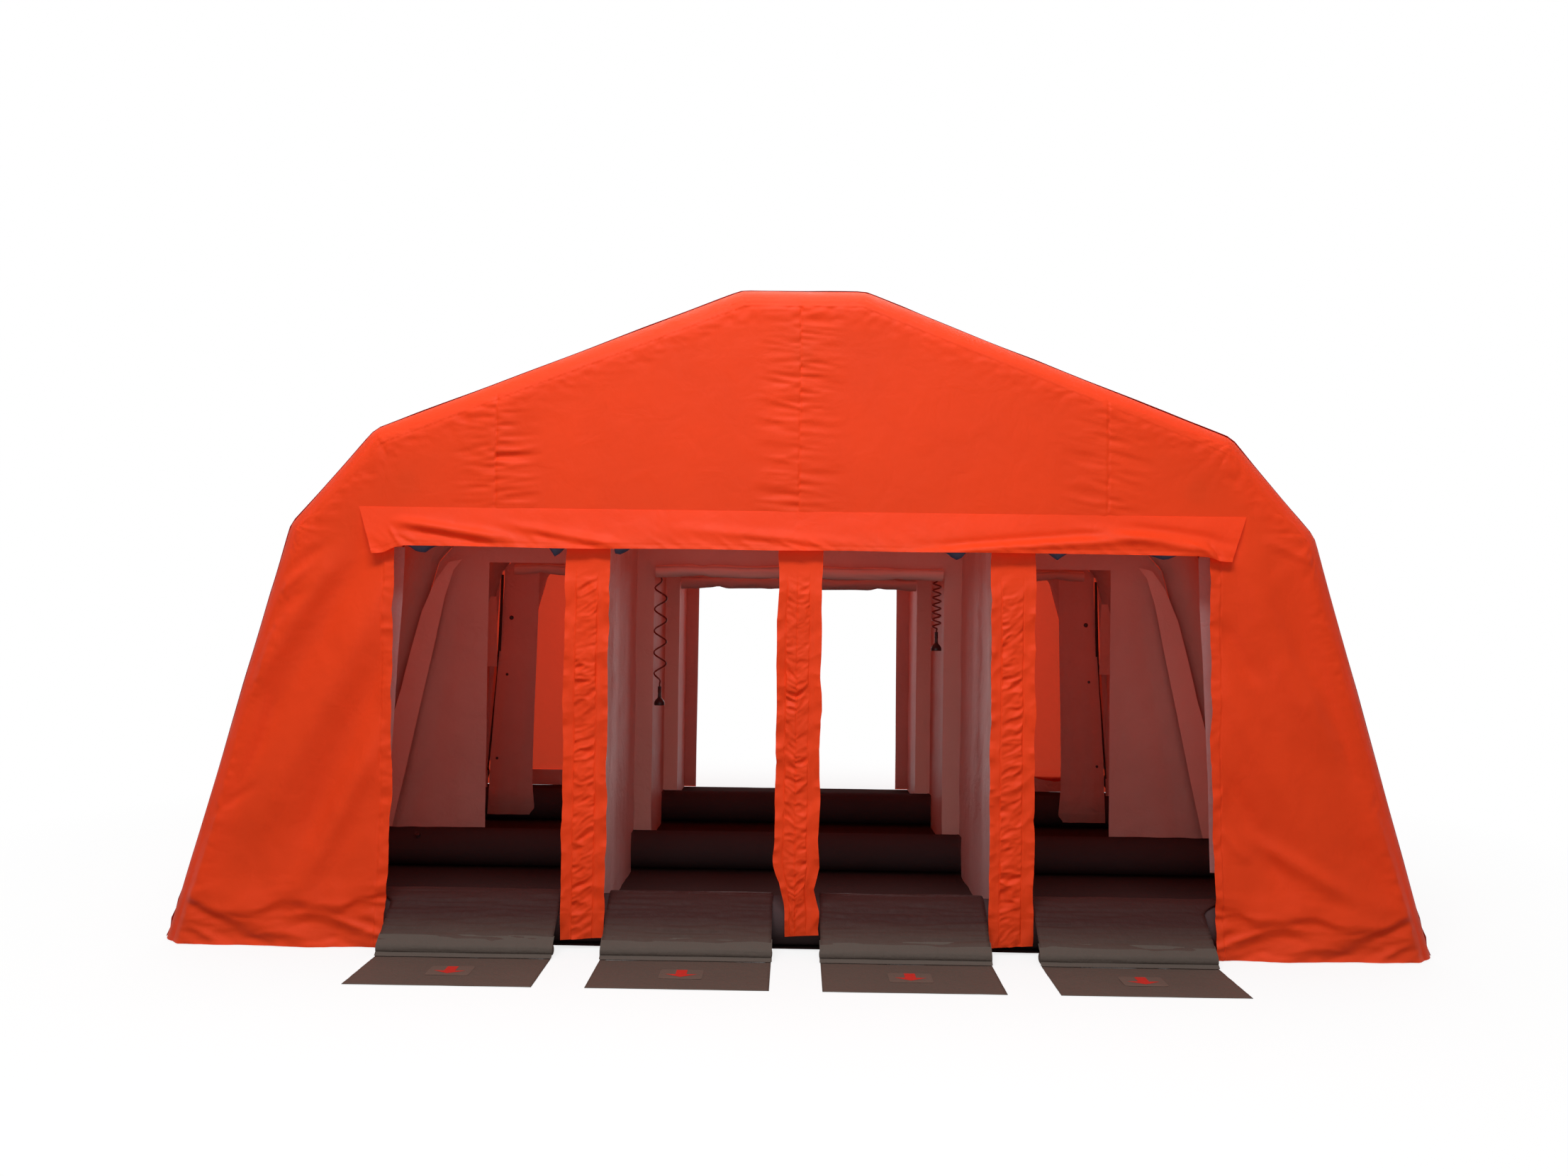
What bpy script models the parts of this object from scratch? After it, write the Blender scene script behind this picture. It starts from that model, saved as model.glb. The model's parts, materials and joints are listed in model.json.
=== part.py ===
"""Inflatable decontamination tent with three lanes, at its real size.

X points to the right as seen from the entrance, Y into the tent and Z up, in
metres. The origin is on the ground, at the middle of the whole tent with its
entrance ramps down. Four inflated arches in cloth sleeves stand on two side
tubes. They carry a coated cover, two gable walls, two inner bulkheads and the
partitions. A sill and two thresholds, inflated too, tie the first three arches
across at the ground, and the last arch leaves the way out level.
"""

import math

import bmesh
import bpy
from mathutils import Vector

# Doorways, in metres
OPENING_HALF_WIDTH = 2.07
LANE_HALF_PITCH = 1.08
STRIP_WIDTH = 0.23
LINTEL_HEIGHT = 2.04
INNER_LINTEL_HEIGHT = 2.02
CURTAIN_LINTEL_DROP = 0.07
POST_FOOT = 0.03
POST_FOLD = 0.012
POST_CHANNEL_SHARE = 0.6
POST_PUCKER_PITCH = 0.70
POST_PUCKER_SLANT = 2.5
FOLD_START = 0.12

# Outline of the cover around the doorways
SIDE_PANEL_WIDTH = 0.57
LEG_SPREAD = 0.60
KNEE_HEADROOM = 0.12
SHOULDER_STEP = 0.43
SHOULDER_RISE = 0.50
CROWN_HALF_WIDTH = 0.32
ROOF_RISE = 0.74

# Inflated frame
RING_COUNT = 4
RING_SPACING = 1.80
TUBE_RADIUS = 0.125
PURLIN_RADIUS = 0.07
PURLIN_DROP = 0.012
TUBE_SIDES = 12
PURLIN_SIDES = 12

# Fabric and clearances
COVER_THICKNESS = 0.004
WALL_THICKNESS = 0.004
PARTITION_THICKNESS = 0.004
FLOOR_THICKNESS = 0.004
GAP = 0.0003
SEW_CLEARANCE = 0.006

# Valance over the entrance
VALANCE_OVERHANG = 0.17
VALANCE_OVERLAP = 0.18
VALANCE_DROP = 0.22
VALANCE_LEAN = 0.018
VALANCE_FOLD = 0.010
VALANCE_FOLD_PITCH = 0.36

# Folds of the entrance's side panels
PANEL_FOLD = 0.020
PANEL_FOLD_PITCH = 0.42
PANEL_FOLD_SLOPE = 0.55
PANEL_CUTS = (0.2, 0.45, 0.7)
GATHER_HEIGHT = 0.24
GATHER_PITCH = 0.08
GATHER_FOLD = 0.010

# Loose leaves beside the rear bulkhead
LEAF_WIDTH = 0.30
LEAF_FOOT = 0.06
LEAF_FOLD = 0.008

# Rolled curtains and doors
DOOR_ROLL_RADIUS = 0.045
CURTAIN_ROLL_RADIUS = 0.042
REAR_CURTAIN_ROLL_RADIUS = 0.055
ROLL_SAG = 0.012
ROLL_RISE = 0.015
ROLL_WAIST = 0.12
ROLL_END_CLEARANCE = 0.012
ROLL_STATIONS = 9

# Mats over the front sill and the ramps in front of them
MAT_THICKNESS = 0.004
MAT_SIDE_CLEARANCE = 0.012
MAT_INNER_REACH = 0.22
MAT_TOE_REACH = 0.06
MAT_APRON = 0.20
MAT_WRAP_STEPS = 10
RAMP_LENGTH = 0.44
RAMP_THICKNESS = 0.004

# Water
PIPE_STANDOFF = 0.08
PIPE_HEIGHT = 2.03
PIPE_RADIUS = 0.0125
PIPE_SIDES = 12
OUTLET_RADIUS = 0.010
OUTLET_DROP = 0.045
HOSE_STATION = 0.72
HOSE_RADIUS = 0.006
LEFT_COIL_RADIUS = 0.044
LEFT_COIL_LENGTH = 0.81
LEFT_COIL_TURNS = 5
RIGHT_COIL_RADIUS = 0.029
RIGHT_COIL_LENGTH = 0.39
RIGHT_COIL_TURNS = 7
COIL_POINTS_PER_TURN = 10
COIL_OPENING_TURNS = 0.6
SHOWER_LENGTH = 0.135
SHOWER_NECK_RADIUS = 0.013
SHOWER_FACE_RADIUS = 0.032
TRIGGER_LENGTH = 0.052
TRIGGER_WIDTH = 0.012
TRIGGER_PIVOT_RADIUS = 0.004
TRIGGER_DROP = 0.022
TRIGGER_SLANT = 26.0
TRIGGER_END_SHARE = 0.6
TRIGGER_ROUND_STEPS = 10
SHOWER_SIDES = 16

# Rear doors
REAR_FLAP_OVERLAP = 0.03
REAR_FLAP_FOOT = 0.05

# Valve on the first threshold tube
VALVE_SIDE_STEP = 0.42
VALVE_TILT = 1.5 * 360.0 / TUBE_SIDES
VALVE_RADIUS = 0.025
VALVE_HEIGHT = 0.010
VALVE_CAP_RADIUS = 0.019
VALVE_CAP_HEIGHT = 0.009
VALVE_SIDES = 16
VALVE_CAP_SIDES = 12

# Places that follow from the sizes above
KNEE_HALF_WIDTH = OPENING_HALF_WIDTH + SIDE_PANEL_WIDTH
KNEE_HEIGHT = INNER_LINTEL_HEIGHT + KNEE_HEADROOM
SHOULDER_HEIGHT = KNEE_HEIGHT + SHOULDER_RISE
CENTRE_LINTEL_HEIGHT = INNER_LINTEL_HEIGHT - CURTAIN_LINTEL_DROP
VALANCE_HALF_WIDTH = OPENING_HALF_WIDTH + VALANCE_OVERHANG
VALANCE_TOP = LINTEL_HEIGHT + VALANCE_OVERLAP
VALANCE_FOOT = VALANCE_TOP - VALANCE_DROP
LEAF_OUTER_HALF_WIDTH = OPENING_HALF_WIDTH + LEAF_WIDTH
PIPE_OFFSET = LANE_HALF_PITCH - PIPE_STANDOFF
TENT_DEPTH = (RING_COUNT - 1) * RING_SPACING + 2 * TUBE_RADIUS + 3 * (GAP + WALL_THICKNESS)
APRON_DEPTH = MAT_APRON + GAP + RAMP_LENGTH - WALL_THICKNESS
FRONT_FACE = -(TENT_DEPTH + APRON_DEPTH) / 2 + APRON_DEPTH + WALL_THICKNESS
FIRST_RING = FRONT_FACE + GAP + TUBE_RADIUS
LAST_RING = FIRST_RING + (RING_COUNT - 1) * RING_SPACING
REAR_FACE = LAST_RING + TUBE_RADIUS + GAP
FLOOR_TOP = FLOOR_THICKNESS + GAP
TUBE_AXIS_HEIGHT = FLOOR_TOP + TUBE_RADIUS
TUBE_TOP = FLOOR_TOP + 2 * TUBE_RADIUS + GAP
WALL_INSET = COVER_THICKNESS + GAP
TUBE_INSET = WALL_INSET + TUBE_RADIUS
BULKHEAD_INSET = WALL_INSET + 2 * TUBE_RADIUS + GAP
PURLIN_INSET = BULKHEAD_INSET + PURLIN_DROP + PURLIN_RADIUS
HALF_STRIP = STRIP_WIDTH / 2
LANE_EDGE = LANE_HALF_PITCH - HALF_STRIP
SIDE_LANE_EDGE = LANE_HALF_PITCH + HALF_STRIP

BAYS = (
    (-OPENING_HALF_WIDTH, -SIDE_LANE_EDGE),
    (-LANE_EDGE, -HALF_STRIP),
    (HALF_STRIP, LANE_EDGE),
    (SIDE_LANE_EDGE, OPENING_HALF_WIDTH),
)


def clear_scene():
    for item in list(bpy.data.objects):
        bpy.data.objects.remove(item, do_unlink=True)


def make_material(name, color, roughness, metallic=0.0, alpha=1.0):
    material = bpy.data.materials.new(name)
    material.use_nodes = True
    shader = material.node_tree.nodes["Principled BSDF"]
    shader.inputs["Base Color"].default_value = (*color, 1.0)
    shader.inputs["Roughness"].default_value = roughness
    shader.inputs["Metallic"].default_value = metallic
    shader.inputs["Alpha"].default_value = alpha
    material.diffuse_color = (*color, alpha)
    return material


def make_materials():
    return {
        "cover": make_material("coated_cover_fabric", (0.85, 0.10, 0.03), 0.55),
        "inner": make_material("inner_fabric", (0.45, 0.08, 0.05), 0.7),
        "clear": make_material("translucent_sheet", (0.75, 0.70, 0.68), 0.4, alpha=0.7),
        "tube": make_material("black_tube_fabric", (0.03, 0.02, 0.02), 0.5),
        "mat": make_material("grey_floor_fabric", (0.12, 0.10, 0.09), 0.6),
        "hose": make_material("dark_hose", (0.05, 0.04, 0.04), 0.4),
        "plastic": make_material("dark_plastic", (0.04, 0.04, 0.05), 0.35),
        "pipe": make_material("steel_pipe", (0.6, 0.6, 0.62), 0.35, metallic=1.0),
    }


def add_to_tent(item, name, material):
    item.name = name
    item.data.name = name
    for other in list(item.users_collection):
        other.objects.unlink(item)
    bpy.data.collections["decontamination_tent"].objects.link(item)
    item.data.materials.clear()
    item.data.materials.append(material)
    return item


def mesh_object(name, build, material):
    """Make an object from a bmesh that the function build fills."""
    mesh = bpy.data.meshes.new(name)
    shape = bmesh.new()
    build(shape)
    shape.to_mesh(mesh)
    shape.free()
    item = bpy.data.objects.new(name, mesh)
    bpy.context.scene.collection.objects.link(item)
    return add_to_tent(item, name, material)


def as_mesh(item):
    """Turn a curve object into a mesh object with its caps welded on."""
    name = item.name
    material = item.data.materials[0]
    bpy.context.view_layer.update()
    mesh = bpy.data.meshes.new_from_object(item.evaluated_get(bpy.context.evaluated_depsgraph_get()))
    solid = bpy.data.objects.new(name + "_mesh", mesh)
    solid.matrix_world = item.matrix_world
    bpy.context.scene.collection.objects.link(solid)
    bpy.data.objects.remove(item, do_unlink=True)
    shape = bmesh.new()
    shape.from_mesh(mesh)
    bmesh.ops.remove_doubles(shape, verts=shape.verts, dist=0.00002)
    shape.to_mesh(mesh)
    shape.free()
    return add_to_tent(solid, name, material)


def tube(name, points, radius, material, sides=TUBE_SIDES, radii=None):
    """A round tube along points, as a curve with filled ends."""
    data = bpy.data.curves.new(name, "CURVE")
    data.dimensions = "3D"
    data.bevel_depth = radius
    data.bevel_resolution = (sides - 4) // 2
    data.use_fill_caps = True
    spline = data.splines.new("POLY")
    spline.points.add(len(points) - 1)
    for index, point in enumerate(points):
        spline.points[index].co = (*point, 1.0)
        spline.points[index].radius = radii[index] if radii else 1.0
    item = bpy.data.objects.new(name, data)
    bpy.context.scene.collection.objects.link(item)
    return add_to_tent(item, name, material)


def cylinder(name, radius, start, end, sides, material):
    """A round bar from start to end."""
    start = Vector(start)
    along = Vector(end) - start
    bpy.ops.mesh.primitive_cylinder_add(vertices=sides, radius=radius, depth=along.length)
    item = bpy.context.object
    item.location = start + along / 2
    item.rotation_euler = along.to_track_quat("Z", "Y").to_euler()
    return add_to_tent(item, name, material)


def round_outline(centre, radius, sides):
    turns = [2 * math.pi * index / sides for index in range(sides)]
    return [(centre.x + radius * math.cos(turn), centre.y + radius * math.sin(turn)) for turn in turns]


def flat_sheet(name, outlines, thickness, plane, place, material):
    """A flat sheet cut to the first outline, with the other outlines as holes.

    With plane "XZ" an outline holds (x, z) and the sheet's middle lies at
    y = place. With plane "YZ" it holds (y, z) and the middle lies at x = place.
    """
    data = bpy.data.curves.new(name, "CURVE")
    data.dimensions = "2D"
    data.fill_mode = "BOTH"
    data.extrude = thickness / 2
    for outline in outlines:
        spline = data.splines.new("POLY")
        spline.points.add(len(outline) - 1)
        for index, (across, height) in enumerate(outline):
            spline.points[index].co = (across, height, 0.0, 1.0)
        spline.use_cyclic_u = True
    item = bpy.data.objects.new(name, data)
    if plane == "XZ":
        item.rotation_euler = (math.pi / 2, 0, 0)
        item.location = (0, place, 0)
    else:
        item.rotation_euler = (math.pi / 2, 0, math.pi / 2)
        item.location = (place, 0, 0)
    bpy.context.scene.collection.objects.link(item)
    return add_to_tent(item, name, material)


def hide_cutter(item):
    for other in list(item.users_collection):
        other.objects.unlink(item)
    bpy.data.collections["cutters"].objects.link(item)
    item.hide_render = True
    item.display_type = "WIRE"


def boolean(item, other, operation):
    change = item.modifiers.new(operation.lower() + "_" + other.name, "BOOLEAN")
    change.operation = operation
    change.solver = "EXACT"
    change.object = other
    hide_cutter(other)


def add_thickness(item, thickness, offset=0.0):
    wall = item.modifiers.new("thickness", "SOLIDIFY")
    wall.thickness = thickness
    wall.offset = offset
    wall.use_even_offset = False


def outline_corners():
    half = (
        Vector((CROWN_HALF_WIDTH, SHOULDER_HEIGHT + ROOF_RISE)),
        Vector((KNEE_HALF_WIDTH - SHOULDER_STEP, SHOULDER_HEIGHT)),
        Vector((KNEE_HALF_WIDTH, KNEE_HEIGHT)),
        Vector((KNEE_HALF_WIDTH + LEG_SPREAD, 0.0)),
    )
    left = [Vector((-corner.x, corner.y)) for corner in reversed(half)]
    return left + list(half)


def inset_outline(distance, base):
    """The cover's outline moved inwards by distance, cut off at height base."""
    corners = outline_corners()
    lines = []
    for first, second in zip(corners, corners[1:]):
        along = (second - first).normalized()
        inward = Vector((along.y, -along.x))
        lines.append((first + inward * distance, along))
    points = [foot_of(lines[0], base)]
    for first, second in zip(lines, lines[1:]):
        points.append(crossing(first, second))
    points.append(foot_of(lines[-1], base))
    return points


def foot_of(line, height):
    start, along = line
    return start + along * ((height - start.y) / along.y)


def crossing(first, second):
    (start, along), (other, direction) = first, second
    step = (other - start).cross(direction) / along.cross(direction)
    return start + along * step


def height_under(outline, offset):
    """Height of the outline straight above the place offset on the X axis."""
    for first, second in zip(outline, outline[1:]):
        if first.x <= offset <= second.x:
            return first.y + (second.y - first.y) * (offset - first.x) / (second.x - first.x)
    raise ValueError("the place lies outside the outline")


def ring_place(index):
    return FIRST_RING + index * RING_SPACING


def make_arches(material):
    foot = TUBE_TOP
    outline = inset_outline(TUBE_INSET, foot - TUBE_RADIUS)
    for index in range(RING_COUNT):
        points = [(point.x, ring_place(index), point.y) for point in outline]
        arch = as_mesh(tube("arch_tube_%d" % (index + 1), points, TUBE_RADIUS, material))
        trim_below(arch, foot)


def trim_below(item, height):
    """Cut a solid flat at a height and close the cut."""
    shape = bmesh.new()
    shape.from_mesh(item.data)
    everything = shape.verts[:] + shape.edges[:] + shape.faces[:]
    cut = bmesh.ops.bisect_plane(shape, geom=everything, dist=0.00001, plane_co=(0, 0, height),
                                 plane_no=(0, 0, -1), clear_outer=True)
    edges = [part for part in cut["geom_cut"] if isinstance(part, bmesh.types.BMEdge)]
    bmesh.ops.holes_fill(shape, edges=edges)
    bmesh.ops.recalc_face_normals(shape, faces=shape.faces)
    shape.to_mesh(item.data)
    shape.free()


def side_tube_place():
    """Distance of the side tubes' axes from the middle of the tent."""
    return inset_outline(TUBE_INSET, TUBE_AXIS_HEIGHT)[-1].x


def make_base_tubes(material):
    place = side_tube_place()
    ends = (FIRST_RING - TUBE_RADIUS, LAST_RING + TUBE_RADIUS)
    for side, name in ((-1, "side_tube_left"), (1, "side_tube_right")):
        start = (side * place, ends[0], TUBE_AXIS_HEIGHT)
        end = (side * place, ends[1], TUBE_AXIS_HEIGHT)
        cylinder(name, TUBE_RADIUS, start, end, TUBE_SIDES, material)
    names = ["sill_tube_front"]
    names += ["threshold_tube_%d" % index for index in range(1, RING_COUNT - 1)]
    reach = place - TUBE_RADIUS - GAP
    for index, name in enumerate(names):
        start = (-reach, ring_place(index), TUBE_AXIS_HEIGHT)
        end = (reach, ring_place(index), TUBE_AXIS_HEIGHT)
        cylinder(name, TUBE_RADIUS, start, end, TUBE_SIDES, material)


def purlin_places():
    """Name and (x, z) of the three tubes that run along the tent."""
    outline = inset_outline(PURLIN_INSET, FLOOR_TOP)
    ridge = (outline[3] + outline[4]) / 2
    return (("eave_tube_left", outline[2]), ("ridge_tube", ridge), ("eave_tube_right", outline[5]))


def make_purlins(material):
    for name, place in purlin_places():
        start = (place.x, FIRST_RING - TUBE_RADIUS, place.y)
        end = (place.x, LAST_RING + TUBE_RADIUS, place.y)
        cylinder(name, PURLIN_RADIUS, start, end, PURLIN_SIDES, material)


def make_cover(material):
    """One sheet over the arches, from the front gable to the rear one."""
    outer = inset_outline(0.0, FLOOR_TOP)
    inner = inset_outline(COVER_THICKNESS, FLOOR_TOP)
    length = REAR_FACE - FRONT_FACE + 2 * WALL_THICKNESS
    loop = outer + list(reversed(inner))
    flat_sheet("roof_cover", [loop], length, "XZ", (FRONT_FACE + REAR_FACE) / 2, material)


def cut_grid(shape, axis, places):
    """Cut every face of a shape by planes across an axis."""
    normal = Vector((0, 0, 0))
    normal[axis] = 1.0
    for place in places:
        everything = shape.verts[:] + shape.edges[:] + shape.faces[:]
        bmesh.ops.bisect_plane(shape, geom=everything, dist=0.0001, plane_co=normal * place,
                               plane_no=normal)


def fade(value, start, end):
    """0 at start, 1 at end, smooth between them."""
    share = max(0.0, min(1.0, (value - start) / (end - start)))
    return share * share * (3 - 2 * share)


def panel_folds(across, height):
    """How far the side panel of the entrance stands out at a place."""
    out_from_edge = fade(across, OPENING_HALF_WIDTH, OPENING_HALF_WIDTH + FOLD_START)
    below_valance = fade(height, VALANCE_FOOT - GAP, VALANCE_FOOT - VALANCE_DROP)
    rounds = (height + across * PANEL_FOLD_SLOPE) / PANEL_FOLD_PITCH
    long_folds = PANEL_FOLD * (0.5 + 0.5 * math.sin(2 * math.pi * rounds))
    gathered = 1 - fade(height, GATHER_HEIGHT / 2, GATHER_HEIGHT)
    gathers = GATHER_FOLD * (0.5 + 0.5 * math.sin(2 * math.pi * height / GATHER_PITCH))
    return below_valance * (long_folds * out_from_edge * (1 - gathered) + gathers * gathered)


def make_front_gable(material):
    profile = inset_outline(WALL_INSET, FLOOR_TOP)
    opening = OPENING_HALF_WIDTH
    corners = [(point.x, point.y) for point in profile]
    corners += [(opening, FLOOR_TOP), (opening, LINTEL_HEIGHT)]
    corners += [(-opening, LINTEL_HEIGHT), (-opening, FLOOR_TOP)]

    def build(shape):
        verts = [shape.verts.new((x, FRONT_FACE, z)) for x, z in corners]
        shape.faces.new(reversed(verts))
        steps = [GATHER_PITCH / 2 * count for count in range(1, int(2 * GATHER_HEIGHT / GATHER_PITCH) + 1)]
        height = GATHER_HEIGHT
        while height < VALANCE_FOOT:
            height += PANEL_FOLD_PITCH / 4
            steps.append(height)
        cut_grid(shape, 2, steps)
        foot_width = profile[-1].x - opening
        for share in PANEL_CUTS:
            cut_grid(shape, 0, [opening + share * foot_width, -opening - share * foot_width])
        bmesh.ops.triangulate(shape, faces=shape.faces)
        for vert in shape.verts:
            vert.co.y -= WALL_THICKNESS / 2 + panel_folds(abs(vert.co.x), vert.co.z)

    gable = mesh_object("front_gable", build, material)
    add_thickness(gable, WALL_THICKNESS)


def hanging_sheet(name, corners, columns, rows, folds, thickness, material):
    """A hanging strip of cloth, in its joint's frame.

    The corners are (left, right, foot, top), in metres, and folds gives the Y
    of the middle of the cloth at a place (x, z).
    """
    left, right, foot, top = corners

    def build(shape):
        bmesh.ops.create_grid(shape, x_segments=columns, y_segments=rows, size=0.5)
        for vert in shape.verts:
            x = left + (vert.co.x + 0.5) * (right - left)
            z = foot + (vert.co.y + 0.5) * (top - foot)
            vert.co = (x, folds(x, z), z)

    item = mesh_object(name, build, material)
    add_thickness(item, thickness)
    return item


def make_door_posts(material):
    """Three flat strips that hang between the entrance's four bays."""
    for name, middle in (("left", -LANE_HALF_PITCH), ("centre", 0.0), ("right", LANE_HALF_PITCH)):
        def folds(x, z, middle=middle):
            loose = 1 - fade(z, LINTEL_HEIGHT - 2 * FOLD_START, LINTEL_HEIGHT - FOLD_START)
            across = (x - middle) / HALF_STRIP
            channel = 0.5 + 0.5 * math.cos(2 * math.pi * across)
            rounds = 2 * math.pi * z / POST_PUCKER_PITCH + POST_PUCKER_SLANT * across
            puckers = 0.5 + 0.5 * math.sin(rounds)
            stand = POST_CHANNEL_SHARE * channel + (1 - POST_CHANNEL_SHARE) * puckers
            return FRONT_FACE - WALL_THICKNESS / 2 - POST_FOLD * loose * stand

        corners = (middle - HALF_STRIP, middle + HALF_STRIP, POST_FOOT, LINTEL_HEIGHT - GAP)
        hanging_sheet("door_post_" + name, corners, 8, 16, folds, WALL_THICKNESS, material)


def make_valance(material):
    """The weather flap that hangs over the entrance from a seam on the gable."""
    seam = FRONT_FACE - WALL_THICKNESS - GAP - WALL_THICKNESS / 2

    def folds(x, z):
        hang = (VALANCE_TOP - z) / VALANCE_DROP
        slope = 2.0 * x / VALANCE_HALF_WIDTH
        rounds = x / VALANCE_FOLD_PITCH + slope * hang
        wave = 0.5 + 0.5 * math.sin(2 * math.pi * rounds)
        return seam - hang * (VALANCE_LEAN + VALANCE_FOLD * wave)

    half = VALANCE_HALF_WIDTH
    corners = (-half, half, VALANCE_FOOT, VALANCE_TOP)
    hanging_sheet("valance", corners, 50, 4, folds, WALL_THICKNESS, material)


def curtain_roll(name, left, right, wall, facing, lintel, radius, material):
    """A rolled-up curtain on the face of a wall, drawn in at its three ties.

    The wall's face lies at y = wall, and facing is the side of it that the
    roll lies on, -1 or 1. The roll hangs from just above the lintel.
    """
    points = []
    radii = []
    for index in range(ROLL_STATIONS):
        share = index / (ROLL_STATIONS - 1)
        width = 1.0 - ROLL_WAIST * (0.5 + 0.5 * math.cos(4 * math.pi * share))
        height = lintel + ROLL_RISE - ROLL_SAG * math.sin(math.pi * share)
        points.append((left + share * (right - left), wall + facing * (GAP + radius * width), height))
        radii.append(width)
    return tube(name, points, radius, material, radii=radii)


def make_rolls(materials):
    """Rolled-up doors behind the valance and rolled-up curtains of the centre lane."""
    for index, (left, right) in enumerate(BAYS):
        curtain_roll(
            "door_roll_%d" % (index + 1), left + ROLL_END_CLEARANCE, right - ROLL_END_CLEARANCE,
            FRONT_FACE, 1, LINTEL_HEIGHT, DOOR_ROLL_RADIUS, materials["inner"])
    rolls = (
        ("curtain_roll_front", 1, CURTAIN_ROLL_RADIUS),
        ("curtain_roll_rear", 2, REAR_CURTAIN_ROLL_RADIUS),
    )
    reach = LANE_EDGE - ROLL_END_CLEARANCE
    for name, ring, radius in rolls:
        curtain_roll(name, -reach, reach, ring_place(ring) - WALL_THICKNESS / 2, -1, CENTRE_LINTEL_HEIGHT,
                     radius, materials["inner"])
    curtain_roll("rear_door_roll", -reach, reach, REAR_FACE, -1, INNER_LINTEL_HEIGHT, DOOR_ROLL_RADIUS,
                 materials["inner"])


def make_bulkheads(material):
    """Inner walls in the planes of the two middle rings."""
    profile = inset_outline(BULKHEAD_INSET, TUBE_TOP)
    edges = {"bulkhead_front": (1, OPENING_HALF_WIDTH), "bulkhead_rear": (2, LEAF_OUTER_HALF_WIDTH)}
    for name, (ring, side_edge) in edges.items():
        outlines = [doorway_outline(profile, side_edge, CENTRE_LINTEL_HEIGHT, TUBE_TOP)]
        for _, place in purlin_places():
            outlines.append(round_outline(place, PURLIN_RADIUS + GAP, PURLIN_SIDES))
        flat_sheet(name, outlines, WALL_THICKNESS, "XZ", ring_place(ring), material)


def doorway_outline(profile, side_edge, centre_lintel, base):
    """A gable outline with a doorway in each lane, open at the foot."""
    points = [(point.x, point.y) for point in profile]
    doorways = (
        (side_edge, SIDE_LANE_EDGE, INNER_LINTEL_HEIGHT),
        (LANE_EDGE, -LANE_EDGE, centre_lintel),
        (-SIDE_LANE_EDGE, -side_edge, INNER_LINTEL_HEIGHT),
    )
    for right, left, lintel in doorways:
        points += [(right, base), (right, lintel), (left, lintel), (left, base)]
    return points


def make_leaves(material):
    """Loose leaves that close the gap between a side lane and the rear bulkhead."""
    plane = ring_place(2)
    front = plane - TUBE_RADIUS - WALL_THICKNESS

    def folds(x, z):
        hang = fade(z, INNER_LINTEL_HEIGHT, TUBE_TOP + FOLD_START)
        across = (abs(x) - OPENING_HALF_WIDTH) / LEAF_WIDTH
        wave = 0.5 + 0.5 * math.cos(4 * math.pi * across)
        return plane + (front - plane) * hang - LEAF_FOLD * hang * wave

    for side, name in ((-1, "left"), (1, "right")):
        edges = sorted((side * (OPENING_HALF_WIDTH - SEW_CLEARANCE), side * (LEAF_OUTER_HALF_WIDTH - GAP)))
        corners = (edges[0], edges[1], LEAF_FOOT, INNER_LINTEL_HEIGHT - GAP)
        hanging_sheet("bulkhead_leaf_" + name, corners, 6, 16, folds, WALL_THICKNESS, material)


def make_rear_wall(material):
    profile = inset_outline(WALL_INSET, FLOOR_TOP)
    outline = doorway_outline(profile, OPENING_HALF_WIDTH, INNER_LINTEL_HEIGHT, FLOOR_TOP)
    flat_sheet("rear_gable", [outline], WALL_THICKNESS, "XZ", REAR_FACE + WALL_THICKNESS / 2, material)


def make_rear_doors(material):
    """Closed flaps over the two side doorways of the rear wall."""
    plane = REAR_FACE + WALL_THICKNESS + GAP + WALL_THICKNESS / 2
    top = INNER_LINTEL_HEIGHT + REAR_FLAP_OVERLAP
    for side, name in ((-1, "left"), (1, "right")):
        inner = side * (SIDE_LANE_EDGE - REAR_FLAP_OVERLAP)
        outer = side * (OPENING_HALF_WIDTH + REAR_FLAP_OVERLAP)
        left, right = sorted((inner, outer))
        outline = ((left, REAR_FLAP_FOOT), (left, top), (right, top), (right, REAR_FLAP_FOOT))
        flat_sheet("rear_door_" + name, [outline], WALL_THICKNESS, "XZ", plane, material)


def make_partitions(material):
    """Lengthwise sheets that part the tent into three lanes."""
    half = PARTITION_THICKNESS / 2
    roof = height_under(inset_outline(WALL_INSET, FLOOR_TOP), LANE_HALF_PITCH + half) - GAP
    under_arch = height_under(inset_outline(BULKHEAD_INSET, FLOOR_TOP), LANE_HALF_PITCH + half) - GAP
    over_sill = TUBE_TOP
    clear = TUBE_RADIUS + GAP
    sheet = WALL_THICKNESS / 2 + GAP
    for section in range(RING_COUNT - 1):
        first, last = ring_place(section), ring_place(section + 1)
        start = FRONT_FACE + GAP if section == 0 else first + sheet
        end = REAR_FACE - GAP if section == RING_COUNT - 2 else last - sheet
        if section == RING_COUNT - 2:
            foot = [(end, FLOOR_TOP)]
        else:
            foot = [(last - clear, FLOOR_TOP), (last - clear, over_sill), (end, over_sill)]
        outline = [(first + clear, FLOOR_TOP), *foot]
        outline += [
            (end, under_arch), (last - clear, under_arch), (last - clear, roof),
            (first + clear, roof), (first + clear, under_arch), (start, under_arch),
            (start, over_sill), (first + clear, over_sill),
        ]
        for side, name in ((-1, "left"), (1, "right")):
            flat_sheet("partition_%s_%d" % (name, section + 1), [outline], PARTITION_THICKNESS, "YZ",
                       side * LANE_HALF_PITCH, material)


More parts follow.
